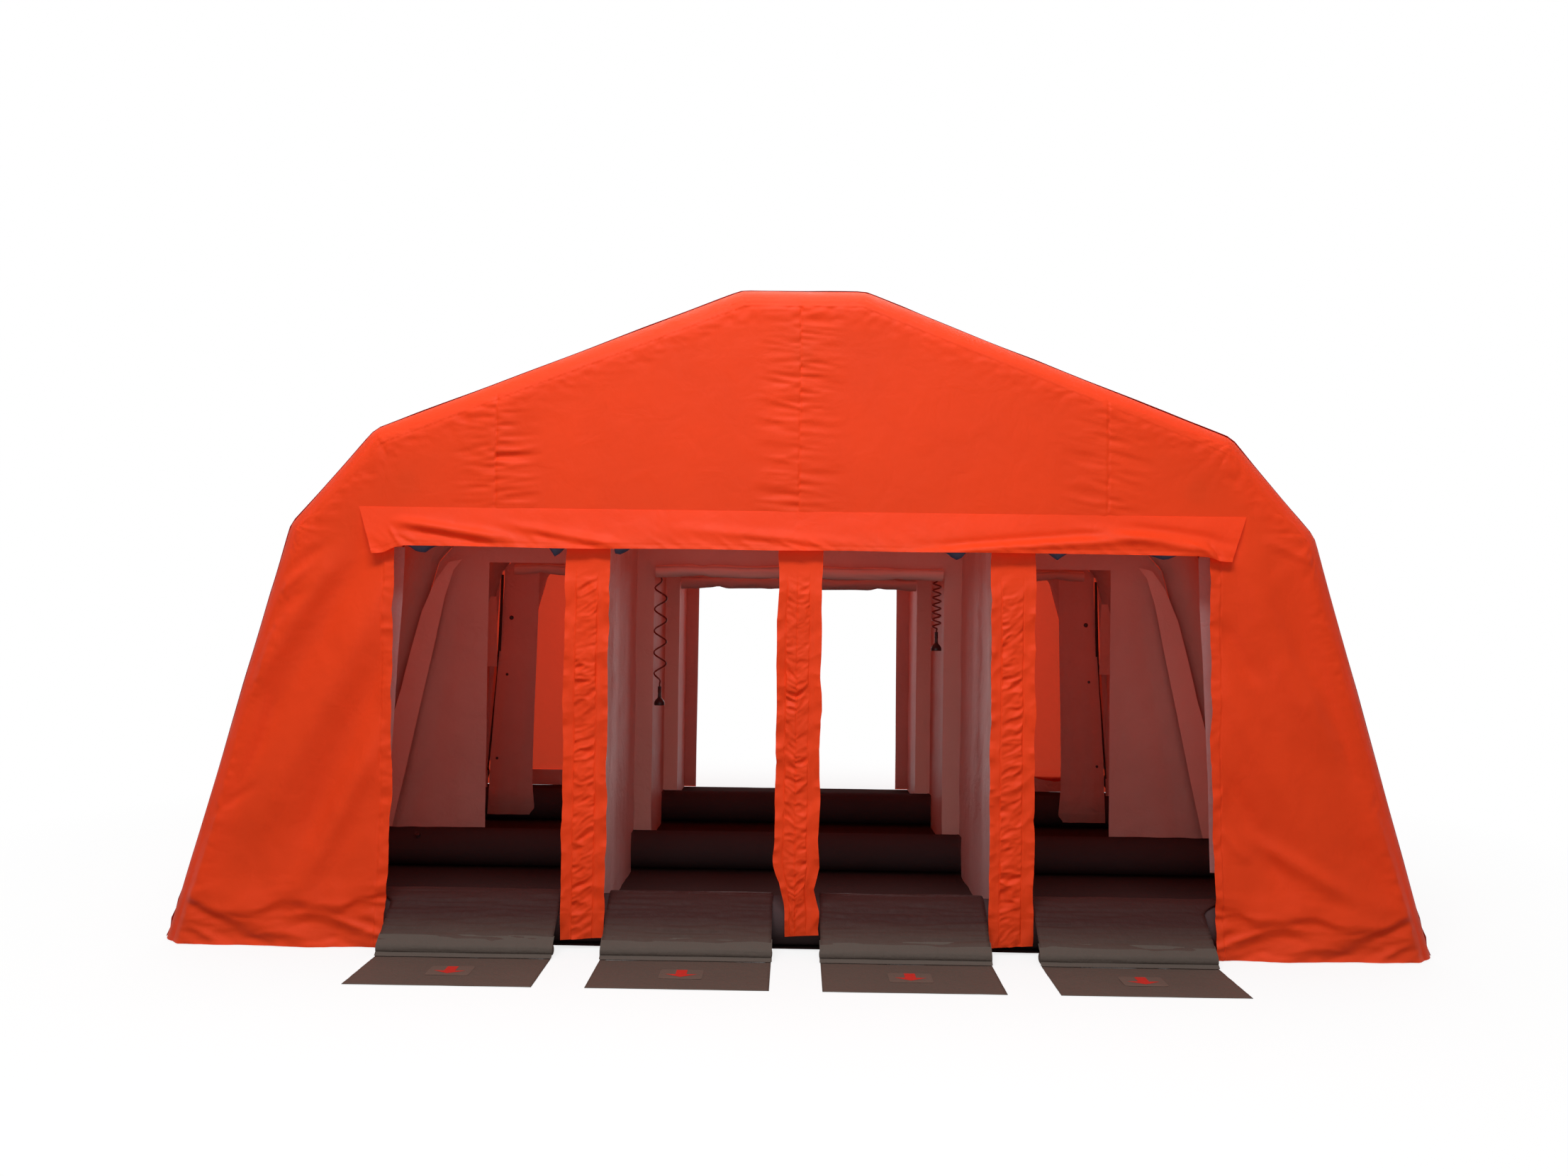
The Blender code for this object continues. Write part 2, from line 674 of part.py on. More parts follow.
def make_floor(material):
    """The groundsheet under the tubes, one flat sheet from side to side."""
    reach = inset_outline(WALL_INSET, FLOOR_TOP)[-1].x
    front, rear = FIRST_RING - TUBE_RADIUS, LAST_RING + TUBE_RADIUS

    def build(shape):
        bmesh.ops.create_cube(shape, size=1.0)
        bmesh.ops.scale(shape, vec=(2 * reach, rear - front, FLOOR_THICKNESS), verts=shape.verts)
        bmesh.ops.translate(shape, vec=(0, (front + rear) / 2, FLOOR_THICKNESS / 2), verts=shape.verts)

    mesh_object("floor_sheet", build, material)


def mat_route():
    """Middle line (y, z) of a mat from the floor inside over the sill to the ground."""
    chord_turn = math.pi / MAT_WRAP_STEPS
    wrap = (TUBE_RADIUS + GAP) / math.cos(chord_turn / 2) + MAT_THICKNESS / 2
    inner = Vector((FIRST_RING + TUBE_RADIUS + MAT_INNER_REACH, FLOOR_TOP + MAT_THICKNESS / 2))
    centre = Vector((FIRST_RING, TUBE_AXIS_HEIGHT))
    heel = Vector((centre.x + TUBE_RADIUS + MAT_TOE_REACH, inner.y))
    toe = Vector((centre.x - TUBE_RADIUS - MAT_TOE_REACH, MAT_THICKNESS / 2))
    start = tangent_angle(centre, heel, wrap, 1)
    end = tangent_angle(centre, toe, wrap, -1)
    route = [inner, heel]
    for index in range(MAT_WRAP_STEPS + 1):
        angle = start + (end - start) * index / MAT_WRAP_STEPS
        route.append(centre + wrap * Vector((math.cos(angle), math.sin(angle))))
    route += [toe, Vector((FRONT_FACE - MAT_APRON, MAT_THICKNESS / 2))]
    return route


def tangent_angle(centre, point, radius, side):
    """Angle on a circle where the line from a point touches it on its upper side."""
    away = point - centre
    facing = math.atan2(away.y, away.x)
    turn = math.acos(radius / away.length)
    return facing + side * turn if side > 0 else facing - turn + 2 * math.pi


def make_entry_mats(material):
    """Mats that lie over the front sill, one in each bay."""
    route = mat_route()
    for index, (left, right) in enumerate(BAYS):
        def build(shape, left=left + MAT_SIDE_CLEARANCE, right=right - MAT_SIDE_CLEARANCE):
            verts = [shape.verts.new((left, point.x, point.y)) for point in route]
            edges = [shape.edges.new(pair) for pair in zip(verts, verts[1:])]
            swept = bmesh.ops.extrude_edge_only(shape, edges=edges)
            moved = [part for part in swept["geom"] if isinstance(part, bmesh.types.BMVert)]
            bmesh.ops.translate(shape, vec=(right - left, 0, 0), verts=moved)
            bmesh.ops.recalc_face_normals(shape, faces=shape.faces)

        mat = mesh_object("entry_mat_%d" % (index + 1), build, material)
        add_thickness(mat, MAT_THICKNESS)
        mat.modifiers["thickness"].use_even_offset = True


def make_ramps(material):
    """Ground flaps that fold up at the seam with the mats."""
    seam = FRONT_FACE - MAT_APRON - GAP
    for index, (left, right) in enumerate(BAYS):
        def build(shape, left=left + MAT_SIDE_CLEARANCE, right=right - MAT_SIDE_CLEARANCE):
            bmesh.ops.create_cube(shape, size=1.0)
            bmesh.ops.scale(shape, vec=(right - left, RAMP_LENGTH, RAMP_THICKNESS), verts=shape.verts)
            middle = ((left + right) / 2, seam - RAMP_LENGTH / 2, RAMP_THICKNESS / 2)
            bmesh.ops.translate(shape, vec=middle, verts=shape.verts)

        mesh_object("ramp_%d" % (index + 1), build, material)


def make_water(materials):
    """Pipes along the middle section, each with a coiled hose and a hand shower."""
    start = ring_place(1) + WALL_THICKNESS / 2 + GAP
    end = ring_place(2) - WALL_THICKNESS / 2 - GAP
    station = ring_place(1) + HOSE_STATION
    coils = (
        (-1, "left", LEFT_COIL_RADIUS, LEFT_COIL_LENGTH, LEFT_COIL_TURNS),
        (1, "right", RIGHT_COIL_RADIUS, RIGHT_COIL_LENGTH, RIGHT_COIL_TURNS),
    )
    for side, name, coil_radius, coil_length, turns in coils:
        x = side * PIPE_OFFSET
        pipe = cylinder("water_pipe_" + name, PIPE_RADIUS, (x, start, PIPE_HEIGHT), (x, end, PIPE_HEIGHT),
                        PIPE_SIDES, materials["pipe"])
        outlet = PIPE_HEIGHT - PIPE_RADIUS - OUTLET_DROP
        stub = cylinder("outlet_" + name, OUTLET_RADIUS, (x, station, PIPE_HEIGHT), (x, station, outlet),
                        PIPE_SIDES, materials["pipe"])
        boolean(pipe, stub, "UNION")
        top = outlet - GAP
        points = coil_points(x, station, top, coil_radius, coil_length, turns)
        print("least gap of coil_hose_%s to itself: %.4f m" % (name, least_gap(points)))
        tube("coil_hose_" + name, points, HOSE_RADIUS, materials["hose"], sides=6)
        make_shower(name, x, station, top - coil_length - GAP, materials["plastic"])


def coil_points(x, y, top, radius, length, turns):
    """A curly hose that hangs straight down, with straight ends one diameter long."""
    straight = 2 * HOSE_RADIUS
    count = turns * COIL_POINTS_PER_TURN
    points = [(x, y, top), (x, y, top - straight)]
    for index in range(1, count):
        share = index / count
        turned = share * turns
        spread = radius * fade(min(turned, turns - turned), 0.0, COIL_OPENING_TURNS)
        angle = 2 * math.pi * turned
        height = top - straight - share * (length - 2 * straight)
        points.append((x + spread * math.cos(angle), y + spread * math.sin(angle), height))
    points += [(x, y, top - length + straight), (x, y, top - length)]
    return points


def least_gap(points):
    """Least clear distance between the turns of a hose."""
    half_turn = COIL_POINTS_PER_TURN // 2
    line = [Vector(point) for point in points]
    least = math.inf
    for index, point in enumerate(line):
        for first, second in zip(line[index + half_turn:], line[index + half_turn + 1:]):
            along = second - first
            share = max(0.0, min(1.0, (point - first).dot(along) / along.length_squared))
            least = min(least, (first + along * share - point).length)
    return least - 2 * HOSE_RADIUS


def make_shower(name, x, y, top, material):
    """A hand shower that hangs mouth down, with a trigger in front of its grip."""
    neck, face, length = SHOWER_NECK_RADIUS, SHOWER_FACE_RADIUS, SHOWER_LENGTH
    profile = (
        (0.0, 0.0), (neck * 0.8, 0.0), (neck, -0.004), (neck, -length * 0.25), (neck * 0.85, -length * 0.35),
        (neck, -length * 0.6), (face * 0.8, -length * 0.8), (face, -length * 0.88), (face, -length),
        (0.0, -length),
    )
    mesh = bpy.data.meshes.new("hand_shower_" + name)
    shape = bmesh.new()
    verts = [shape.verts.new((radius, 0, height)) for radius, height in profile]
    for pair in zip(verts, verts[1:]):
        shape.edges.new(pair)
    shape.to_mesh(mesh)
    shape.free()
    shower = bpy.data.objects.new("hand_shower_" + name, mesh)
    shower.location = (x, y, top)
    bpy.context.scene.collection.objects.link(shower)
    turn = shower.modifiers.new("turn", "SCREW")
    turn.steps = SHOWER_SIDES
    turn.render_steps = SHOWER_SIDES
    turn.use_merge_vertices = True
    turn.merge_threshold = 0.00001
    add_to_tent(shower, "hand_shower_" + name, material)
    make_trigger(name, x, y, top, material)


def make_trigger(name, x, y, top, material):
    """The sprung lever, round at its pivot so that it turns clear of the neck."""
    round_end = TRIGGER_PIVOT_RADIUS
    pivot = (x, y - SHOWER_NECK_RADIUS - GAP - round_end, top - TRIGGER_DROP)
    slant = math.radians(TRIGGER_SLANT)
    outline = []
    for index in range(TRIGGER_ROUND_STEPS + 1):
        angle = math.pi * index / TRIGGER_ROUND_STEPS
        outline.append((round_end * math.cos(angle), round_end * math.sin(angle)))
    half_end = round_end * TRIGGER_END_SHARE
    outline += [(-half_end, -TRIGGER_LENGTH), (half_end, -TRIGGER_LENGTH)]
    turned = []
    for across, height in outline:
        turned.append((across * math.cos(slant) + height * math.sin(slant),
                       height * math.cos(slant) - across * math.sin(slant)))
    lever = flat_sheet("shower_trigger_" + name, [turned], TRIGGER_WIDTH, "YZ", 0.0, material)
    lever.location = pivot


def make_valve(material):
    """Inflation valve with its cap, on the front of the first threshold tube."""
    tilt = math.radians(VALVE_TILT)
    facing = Vector((0.0, -math.cos(tilt), math.sin(tilt)))
    place = -(OPENING_HALF_WIDTH + VALVE_SIDE_STEP)
    axis = Vector((place, ring_place(1), TUBE_AXIS_HEIGHT))
    base = axis + facing * (TUBE_RADIUS * math.cos(math.pi / TUBE_SIDES) + GAP)
    top = base + facing * VALVE_HEIGHT
    cylinder("inflation_valve", VALVE_RADIUS, base, top, VALVE_SIDES, material)
    cylinder("inflation_valve_cap", VALVE_CAP_RADIUS, top + facing * GAP,
             top + facing * (GAP + VALVE_CAP_HEIGHT), VALVE_CAP_SIDES, material)


def main():
    clear_scene()
    for name in ("decontamination_tent", "cutters"):
        bpy.context.scene.collection.children.link(bpy.data.collections.new(name))
    materials = make_materials()
    make_floor(materials["mat"])
    make_arches(materials["inner"])
    make_base_tubes(materials["tube"])
    make_purlins(materials["tube"])
    make_cover(materials["cover"])
    make_front_gable(materials["cover"])
    make_rear_wall(materials["cover"])
    make_rear_doors(materials["cover"])
    make_bulkheads(materials["inner"])
    make_leaves(materials["inner"])
    make_partitions(materials["clear"])
    make_door_posts(materials["cover"])
    make_valance(materials["cover"])
    make_rolls(materials)
    make_entry_mats(materials["mat"])
    make_ramps(materials["mat"])
    make_water(materials)
    make_valve(materials["plastic"])


main()
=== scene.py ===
"""Inflatable decontamination tent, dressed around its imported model.

Laid out as an add-on and run as a script. X points to the right as seen from
the entrance, Y into the tent and Z up, in metres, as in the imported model.
"""

import json
import math
from itertools import pairwise

import bmesh
import bpy
from bpy.props import FloatProperty, FloatVectorProperty, PointerProperty
from mathutils import Matrix, Vector, noise

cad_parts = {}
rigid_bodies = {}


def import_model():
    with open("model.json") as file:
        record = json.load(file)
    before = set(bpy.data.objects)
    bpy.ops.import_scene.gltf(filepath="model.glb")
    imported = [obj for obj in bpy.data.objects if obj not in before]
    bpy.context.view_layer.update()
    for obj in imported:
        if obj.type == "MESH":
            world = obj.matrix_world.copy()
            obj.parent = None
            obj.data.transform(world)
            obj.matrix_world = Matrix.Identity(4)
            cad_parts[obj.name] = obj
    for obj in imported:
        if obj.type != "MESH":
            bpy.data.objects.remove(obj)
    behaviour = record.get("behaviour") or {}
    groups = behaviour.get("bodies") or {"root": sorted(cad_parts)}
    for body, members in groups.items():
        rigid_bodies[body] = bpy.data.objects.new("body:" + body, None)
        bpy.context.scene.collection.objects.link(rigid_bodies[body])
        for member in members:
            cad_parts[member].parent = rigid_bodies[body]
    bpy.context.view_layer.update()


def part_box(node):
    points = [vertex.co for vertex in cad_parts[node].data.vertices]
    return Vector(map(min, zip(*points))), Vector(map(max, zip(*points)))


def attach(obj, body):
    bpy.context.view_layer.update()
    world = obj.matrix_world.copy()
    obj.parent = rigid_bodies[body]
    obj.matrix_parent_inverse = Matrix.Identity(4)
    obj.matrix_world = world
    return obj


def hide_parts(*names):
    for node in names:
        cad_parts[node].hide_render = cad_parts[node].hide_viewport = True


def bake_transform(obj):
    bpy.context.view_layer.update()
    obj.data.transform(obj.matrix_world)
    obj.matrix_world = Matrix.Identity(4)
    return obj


bl_info = {
    "name": "Decontamination Tent",
    "version": (1, 0, 0),
    "blender": (4, 5, 0),
    "location": "3D View > Sidebar > Tent",
    "description": "Dresses an inflatable decontamination tent piece by piece",
    "category": "Object",
}

for leftover in list(bpy.data.objects):
    bpy.data.objects.remove(leftover, do_unlink=True)

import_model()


def middle(node, axis):
    low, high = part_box(node)
    return (low[axis] + high[axis]) / 2


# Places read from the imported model
RINGS = [middle("arch_tube_%d" % count, 1) for count in (1, 2, 3, 4)]
FLOOR_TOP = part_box("floor_sheet")[1].z
TUBE_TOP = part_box("sill_tube_front")[1].z
TUBE_RADIUS = (TUBE_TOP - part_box("sill_tube_front")[0].z) / 2
TUBE_AXIS = TUBE_TOP - TUBE_RADIUS

# Sizes repeated from the part, in metres
CORNERS = ((0.32, 3.38), (2.21, 2.64), (2.64, 2.14), (3.24, 0.0))
OPENING = 2.07
LANE = 1.08
HALF_STRIP = 0.115
LINTEL = 2.04
INNER_LINTEL = 2.02
CENTRE_LINTEL = 1.95
LEAF_OUTER = 2.37
GAP = 0.0003
COAT = 0.004
WRAP_RADIUS = TUBE_RADIUS + COAT + GAP
FRONT_FACE = RINGS[0] - TUBE_RADIUS - GAP
REAR_FACE = RINGS[3] + TUBE_RADIUS + GAP
BULKHEAD_INSET = COAT + 2 * TUBE_RADIUS + 2 * GAP
BAYS = ((-OPENING, -LANE - HALF_STRIP), (-LANE + HALF_STRIP, -HALF_STRIP),
        (HALF_STRIP, LANE - HALF_STRIP), (LANE + HALF_STRIP, OPENING))

# Sewing of the cover, which turns down over the end arches as far as the seam turn
SEAM_TURN = math.radians(63)
SEAM_DEPTH = WRAP_RADIUS * (1 - math.cos(SEAM_TURN))
GABLE_SEAMS = (-1.56, -0.01, 1.555)
UNDERLAP = 0.02
HEM = 0.055
LEG_BAND = 0.072
ROOF_BAND = 0.107
CLOTH = 0.0015


def linear(code):
    """An sRGB hex colour as linear red, green and blue."""
    parts = [int(code[place:place + 2], 16) / 255 for place in (0, 2, 4)]
    return tuple(part / 12.92 if part <= 0.04045 else ((part + 0.055) / 1.055) ** 2.4 for part in parts)


def length_setting(name, default, description):
    return FloatProperty(name=name, description=description, default=default, min=0.0, unit="LENGTH")


def colour_setting(name, code, description):
    return FloatVectorProperty(name=name, description=description, default=linear(code), size=3,
                               subtype="COLOR", min=0.0, max=1.0)


def power_setting(name, default, description):
    return FloatProperty(name=name, description=description, default=default, min=0.0, unit="POWER")


class TentCloth(bpy.types.PropertyGroup):
    sag: length_setting("Sag", 0.030, "How far the cover sags between two arches")
    fold: length_setting("Fold", 0.030, "How far the folds of the side panels stand out")
    pucker: length_setting("Pucker", 0.0100, "How far the puckers beside a seam stand out")
    gather: length_setting("Gather", 0.018, "How far the gathers at the foot of the cloth stand out")


class TentColours(bpy.types.PropertyGroup):
    cover: colour_setting("Cover", "F74513", "Coated cloth of the cover")
    inner: colour_setting("Inner", "DAB6AE", "Cloth of the bulkheads and the rolled curtains")
    sheet: colour_setting("Sheet", "AC999A", "White film of the partitions")
    tube: colour_setting("Tube", "483A3B", "Coated cloth of the inflated tubes")
    floor: colour_setting("Floor", "54463F", "Coated cloth of the mats and ramps")
    lining: colour_setting("Lining", "454A62", "Back of the rolled doors")
    arrow: colour_setting("Arrow", "B52A22", "Arrow on the patch of a ramp")
    plastic: colour_setting("Plastic", "3A2A2C", "Moulded plastic fittings")
    hose: colour_setting("Hose", "7A2A22", "Recoil hose")


class TentLight(bpy.types.PropertyGroup):
    sky: FloatProperty(name="Sky", description="Strength of the even light all round", default=0.38, min=0.0)
    key: power_setting("Key", 650.0, "Power of the lamp above the entrance")
    top: power_setting("Top", 440.0, "Power of the lamp above the roof")
    back: power_setting("Back", 170.0, "Power of the lamp behind the tent")
    fill: power_setting("Fill", 45.0, "Power of the low lamp before the entrance")


def add_node(tree, kind, inputs=None, **settings):
    """Add a node and give its outputs. Inputs maps a socket to a value or to the output that feeds it."""
    node = tree.nodes.new("ShaderNode" + kind)
    for name, value in settings.items():
        setattr(node, name, value)
    for socket, value in (inputs or {}).items():
        if isinstance(value, bpy.types.NodeSocket):
            tree.links.new(value, node.inputs[socket])
        else:
            node.inputs[socket].default_value = value
    return node.outputs


def new_material(name):
    material = bpy.data.materials.new(name)
    material.use_nodes = True
    material.node_tree.nodes.clear()
    return material, material.node_tree


# The part of its range that noise mostly keeps to
NOISE_RANGE = {"From Min": 0.3, "From Max": 0.7}


def blotches(tree, spot, colour, size, contrast):
    """The colour, a little darker and lighter in soft patches of a size in metres."""
    cloud = add_node(tree, "TexNoise", {"Vector": spot, "Scale": 1 / size, "Detail": 4.0},
                     noise_dimensions="4D")
    shade = add_node(tree, "MapRange", {"Value": cloud["Fac"], **NOISE_RANGE, "To Min": 1 - contrast,
                                        "To Max": 1 + contrast})
    return add_node(tree, "VectorMath", {0: colour, "Scale": shade["Result"]}, operation="SCALE")["Vector"]


def coated_cloth(name, colour, roughness, crumple_size, crumple_depth, weave=0.004, weave_depth=0.00025,
                 through=0.0, through_colour=None, soiled=0.0, shine=0.22, painted_shade=None):
    """Plain-woven polyester with a polyurethane coating.

    The thread spacing of the real cloth is under 1 mm. The weave is drawn about
    four times as coarse, so that it still shows close up. Through is the share
    of light that the cloth lets through, and soiled darkens it near the ground.
    The last argument, a colour, is painted shade: the colour that the cloth takes
    towards the inside, behind the entrance, darker and redder, for the shade under
    the gable and the red light inside the tent.
    """
    material, tree = new_material(name)
    spot = add_node(tree, "TexCoord")["Object"]
    part = add_node(tree, "SeparateXYZ", {"Vector": spot})
    tint = blotches(tree, spot, colour, 0.5, 0.05)
    if soiled:
        smudge = add_node(tree, "TexNoise", {"Vector": spot, "Scale": 9.0, "Detail": 5.0})["Fac"]
        reach = add_node(tree, "Math", {0: smudge, 1: 0.35, 2: 0.0}, operation="MULTIPLY_ADD")["Value"]
        drop = add_node(tree, "Math", {0: reach, 1: part["Z"]}, operation="SUBTRACT")["Value"]
        dust = add_node(tree, "MapRange", {"Value": drop, "From Min": -0.15, "From Max": 0.25, "To Min": 1.0,
                                           "To Max": 1 - soiled})["Result"]
        tint = add_node(tree, "VectorMath", {0: tint, "Scale": dust}, operation="SCALE")["Vector"]
    # Painted shade: darker and redder towards the inside, for the shade under the gable and the red light in
    # the tent
    if painted_shade:
        inside = add_node(tree, "MapRange", {"Value": part["Y"], "From Min": FRONT_FACE - 0.215,
                                             "From Max": FRONT_FACE - 0.03})["Result"]
        tint = add_node(tree, "Mix", {"Factor": inside, "A": tint, "B": painted_shade},
                        data_type="VECTOR")["Result"]
    crumple = add_node(tree, "TexNoise", {"Vector": spot, "Scale": 1 / crumple_size, "Detail": 3.0,
                                          "Roughness": 0.55, "Distortion": 0.6})["Fac"]
    folds = add_node(tree, "Bump", {"Height": crumple, "Distance": crumple_depth})["Normal"]
    cloth = add_node(tree, "UVMap", uv_map="cloth")["UV"]
    warp, weft = [add_node(tree, "TexWave", {"Vector": cloth, "Scale": 0.314 / weave, "Distortion": 0.4},
                           bands_direction=way)["Fac"] for way in ("X", "Y")]
    threads = add_node(tree, "Math", {0: warp, 1: weft}, operation="MULTIPLY")["Value"]
    relief = add_node(tree, "Bump", {"Height": threads, "Distance": weave_depth, "Normal": folds})["Normal"]
    gloss = add_node(tree, "MapRange", {"Value": crumple, **NOISE_RANGE, "To Min": roughness - 0.05,
                                        "To Max": roughness + 0.07})["Result"]
    surface = add_node(tree, "BsdfPrincipled", {"Base Color": tint, "Roughness": gloss, "Normal": relief,
                                                "Specular IOR Level": shine})["BSDF"]
    if through:
        glow = add_node(tree, "BsdfTranslucent", {"Color": (*(through_colour or colour), 1.0),
                                                  "Normal": relief})["BSDF"]
        surface = add_node(tree, "MixShader", {"Fac": through, 1: surface, 2: glow})["Shader"]
    add_node(tree, "OutputMaterial", {"Surface": surface})
    return material


def smooth_finish(name, colour, roughness, metallic=0.0, grain=0.002):
    """A moulded, drawn or extruded surface with a fine grain."""
    material, tree = new_material(name)
    spot = add_node(tree, "TexCoord")["Object"]
    tint = blotches(tree, spot, colour, 0.03, 0.08)
    fine = add_node(tree, "TexNoise", {"Vector": spot, "Scale": 1 / grain, "Detail": 2.0})["Fac"]
    relief = add_node(tree, "Bump", {"Height": fine, "Distance": 0.0001})["Normal"]
    wear = add_node(tree, "TexNoise", {"Vector": spot, "Scale": 60.0, "Detail": 4.0})["Fac"]
    gloss = add_node(tree, "MapRange", {"Value": wear, **NOISE_RANGE, "To Min": roughness - 0.08,
                                        "To Max": roughness + 0.1})["Result"]
    surface = add_node(tree, "BsdfPrincipled", {"Base Color": tint, "Roughness": gloss, "Metallic": metallic,
                                                "Normal": relief})["BSDF"]
    add_node(tree, "OutputMaterial", {"Surface": surface})
    return material


FINISHES = {}


def make_finishes():
    """Every finish of the tent, by a short name."""
    colours = bpy.context.scene.tent_colours
    cover, inner, floor = tuple(colours.cover), tuple(colours.inner), tuple(colours.floor)
    FINISHES.update({
        # Orange polyester with a polyurethane coat inside: even, slightly glossy, and it lets light through
        "cover": coated_cloth("pu_coated_polyester_orange", cover, 0.56, 0.14, 0.004, through=0.25,
                              through_colour=linear("FF5A3C"), soiled=0.10),
        # Tape of the same cloth, coated on both faces and welded over a seam: smoother, and painted a touch
        # darker as painted shade of the tubes under it seen through the cover
        "seam": coated_cloth("welded_seam_tape", tuple(0.82 * part for part in cover), 0.46, 0.10, 0.002,
                             soiled=0.10),
        # The same cloth without the heavy coat: duller and redder in the shade
        "inner": coated_cloth("woven_polyester_inner", inner, 0.68, 0.10, 0.008, through=0.25,
                              through_colour=linear("E08A7C"), soiled=0.2),
        # The same cloth at a hem, a tape or a rolled curtain: it lets less light through, and its colour is
        # painted paler, a lit copy of the inner cloth: painted light
        "band": coated_cloth("woven_polyester_doubled", tuple(min(1.0, 1.15 * part) for part in inner), 0.66,
                             0.10, 0.006, through=0.10, through_colour=linear("E8796C"), soiled=0.2),
        # The same cloth in two layers and a webbing: hardly any light comes through
        "lined": coated_cloth("woven_polyester_lined", inner, 0.68, 0.08, 0.006, through=0.06,
                              through_colour=linear("E08A7C")),
        # Extruded and cross-laminated polyethylene film: milky, with soft wrinkles
        "sheet": coated_cloth("milky_polyethylene_film", tuple(colours.sheet), 0.38, 0.09, 0.010, weave=0.006,
                              weave_depth=0.0002, through=0.5, through_colour=linear("F0DEDC"), soiled=0.2),
        # Polyester base cloth with a thick black PVC coat: close weave, dull
        "tube": coated_cloth("pvc_coated_tube_cloth", tuple(colours.tube), 0.6, 0.05, 0.0015, weave=0.003,
                             shine=0.0),
        # Grey PVC-coated cloth of mats and ramps: dull, with fine cross wrinkles. Painted shade makes it
        # darker and redder behind the entrance
        "floor": coated_cloth("pvc_coated_groundsheet", floor, 0.66, 0.035, 0.004, shine=0.14,
                              painted_shade=linear("351B19")),
        # The same cloth laid under the lanes: duller, and darker and redder all over with painted shade
        "painted_shade": coated_cloth("trodden_pvc_groundsheet", floor, 0.8, 0.035, 0.004, shine=0.0,
                                painted_shade=linear("3F2E2D")),
        # Doubled and turned-in edge of a mat: greyer, as its dull back shows
        "hem": coated_cloth("pvc_groundsheet_hem", linear("564C46"), 0.72, 0.035, 0.003, shine=0.08),
        # Lighter grey PVC patch, welded on
        "patch": coated_cloth("welded_pvc_patch", linear("5E4E46"), 0.5, 0.03, 0.002),
        # Screen-printed ink on the patch: thin and even
        "arrow": coated_cloth("screen_print_red", tuple(colours.arrow), 0.5, 0.03, 0.001),
        # Blue-grey back of the rolled door cloth
        "lining": coated_cloth("pu_coated_lining", tuple(colours.lining), 0.55, 0.05, 0.004),
        # Injection-moulded ABS: even satin face
        "plastic": smooth_finish("moulded_abs", tuple(colours.plastic), 0.38),
        # Extruded polyurethane recoil hose: slightly glossy
        "hose": smooth_finish("extruded_polyurethane", tuple(colours.hose), 0.32, grain=0.01),
        # Drawn and brushed stainless steel pipe
        "steel": smooth_finish("drawn_stainless_steel", linear("B9BBBD"), 0.34, metallic=1.0),
    })


def fade(value, start, end):
    """0 at start, 1 at end, smooth between them."""
    share = max(0.0, min(1.0, (value - start) / (end - start)))
    return share * share * (3 - 2 * share)


def notch(value, place, width):
    """1 at a place, falling evenly to 0 at a width from it."""
    return 1 - min(abs(value - place) / width, 1.0)


def ripple(across, along, seed):
    """Soft noise from about -1 to 1."""
    return noise.noise(Vector((across, along, seed)))


def crease(across, along, seed):
    """Sharp-ridged noise, as in crumpled coated cloth, from about -1 to 1."""
    rough = ripple(across, along, seed) + 0.45 * ripple(2.3 * across, 2.3 * along, seed + 9.0)
    return 1.0 - 2.6 * abs(rough)


OUTLINE = [Vector((-across, height)) for across, height in reversed(CORNERS)]
OUTLINE += [Vector(corner) for corner in CORNERS]


def foot_of(line, height):
    start, along = line
    return start + along * ((height - start.y) / along.y)


def inset_corners(distance, base):
    """Corners of the outline moved inwards by a distance, with its feet at height base."""
    lines = []
    for first, second in pairwise(OUTLINE):
        along = (second - first).normalized()
        lines.append((first + Vector((along.y, -along.x)) * distance, along))
    points = [foot_of(lines[0], base)]
    for (start, along), (other, direction) in pairwise(lines):
        step = (other - start).cross(direction) / along.cross(direction)
        points.append(start + along * step)
    points.append(foot_of(lines[-1], base))
    return points


INSETS = {}


def inset_cache(depth):
    key = round(depth, 5)
    if key not in INSETS:
        INSETS[key] = inset_corners(key, FLOOR_TOP)
    return INSETS[key]


def depth_below_outline(across, height):
    """Distance of a place inside the outline from its nearest edge."""
    depths = []
    for first, second in pairwise(OUTLINE):
        along = (second - first).normalized()
        depths.append((Vector((across, height)) - first).dot(Vector((along.y, -along.x))))
    return min(depths)


def stations(corners):
    """Distance of each corner along the outline, from its left foot."""
    places = [0.0]
    for first, second in pairwise(corners):
        places.append(places[-1] + (second - first).length)
    return places


OUTER_STATIONS = stations(inset_corners(0.0, FLOOR_TOP))
GIRTH = OUTER_STATIONS[-1]
ROUNDING = 0.028


def on_outline(corners, station):
    """The point of an inset outline that belongs to a station of the outer outline."""
    station = max(0.0, min(GIRTH, station))
    for (start, end), (first, second) in zip(pairwise(OUTER_STATIONS), pairwise(corners)):
        if station <= end:
            return first.lerp(second, (station - start) / (end - start))


def rounded_outline(corners, station):
    """As on_outline, with the corners eased as stretched cloth eases them."""
    near = min(ROUNDING, station, GIRTH - station)
    sides = on_outline(corners, station - near) + on_outline(corners, station + near)
    return (on_outline(corners, station) + sides / 2) / 2


def corner_nearness(station, reach):
    """1 at a corner of the outline, 0 further from it than reach."""
    return max(notch(station, place, reach) for place in OUTER_STATIONS[1:-1])


def link_object(name, data):
    thing = bpy.data.objects.new(name, data)
    bpy.context.scene.collection.objects.link(thing)
    return thing


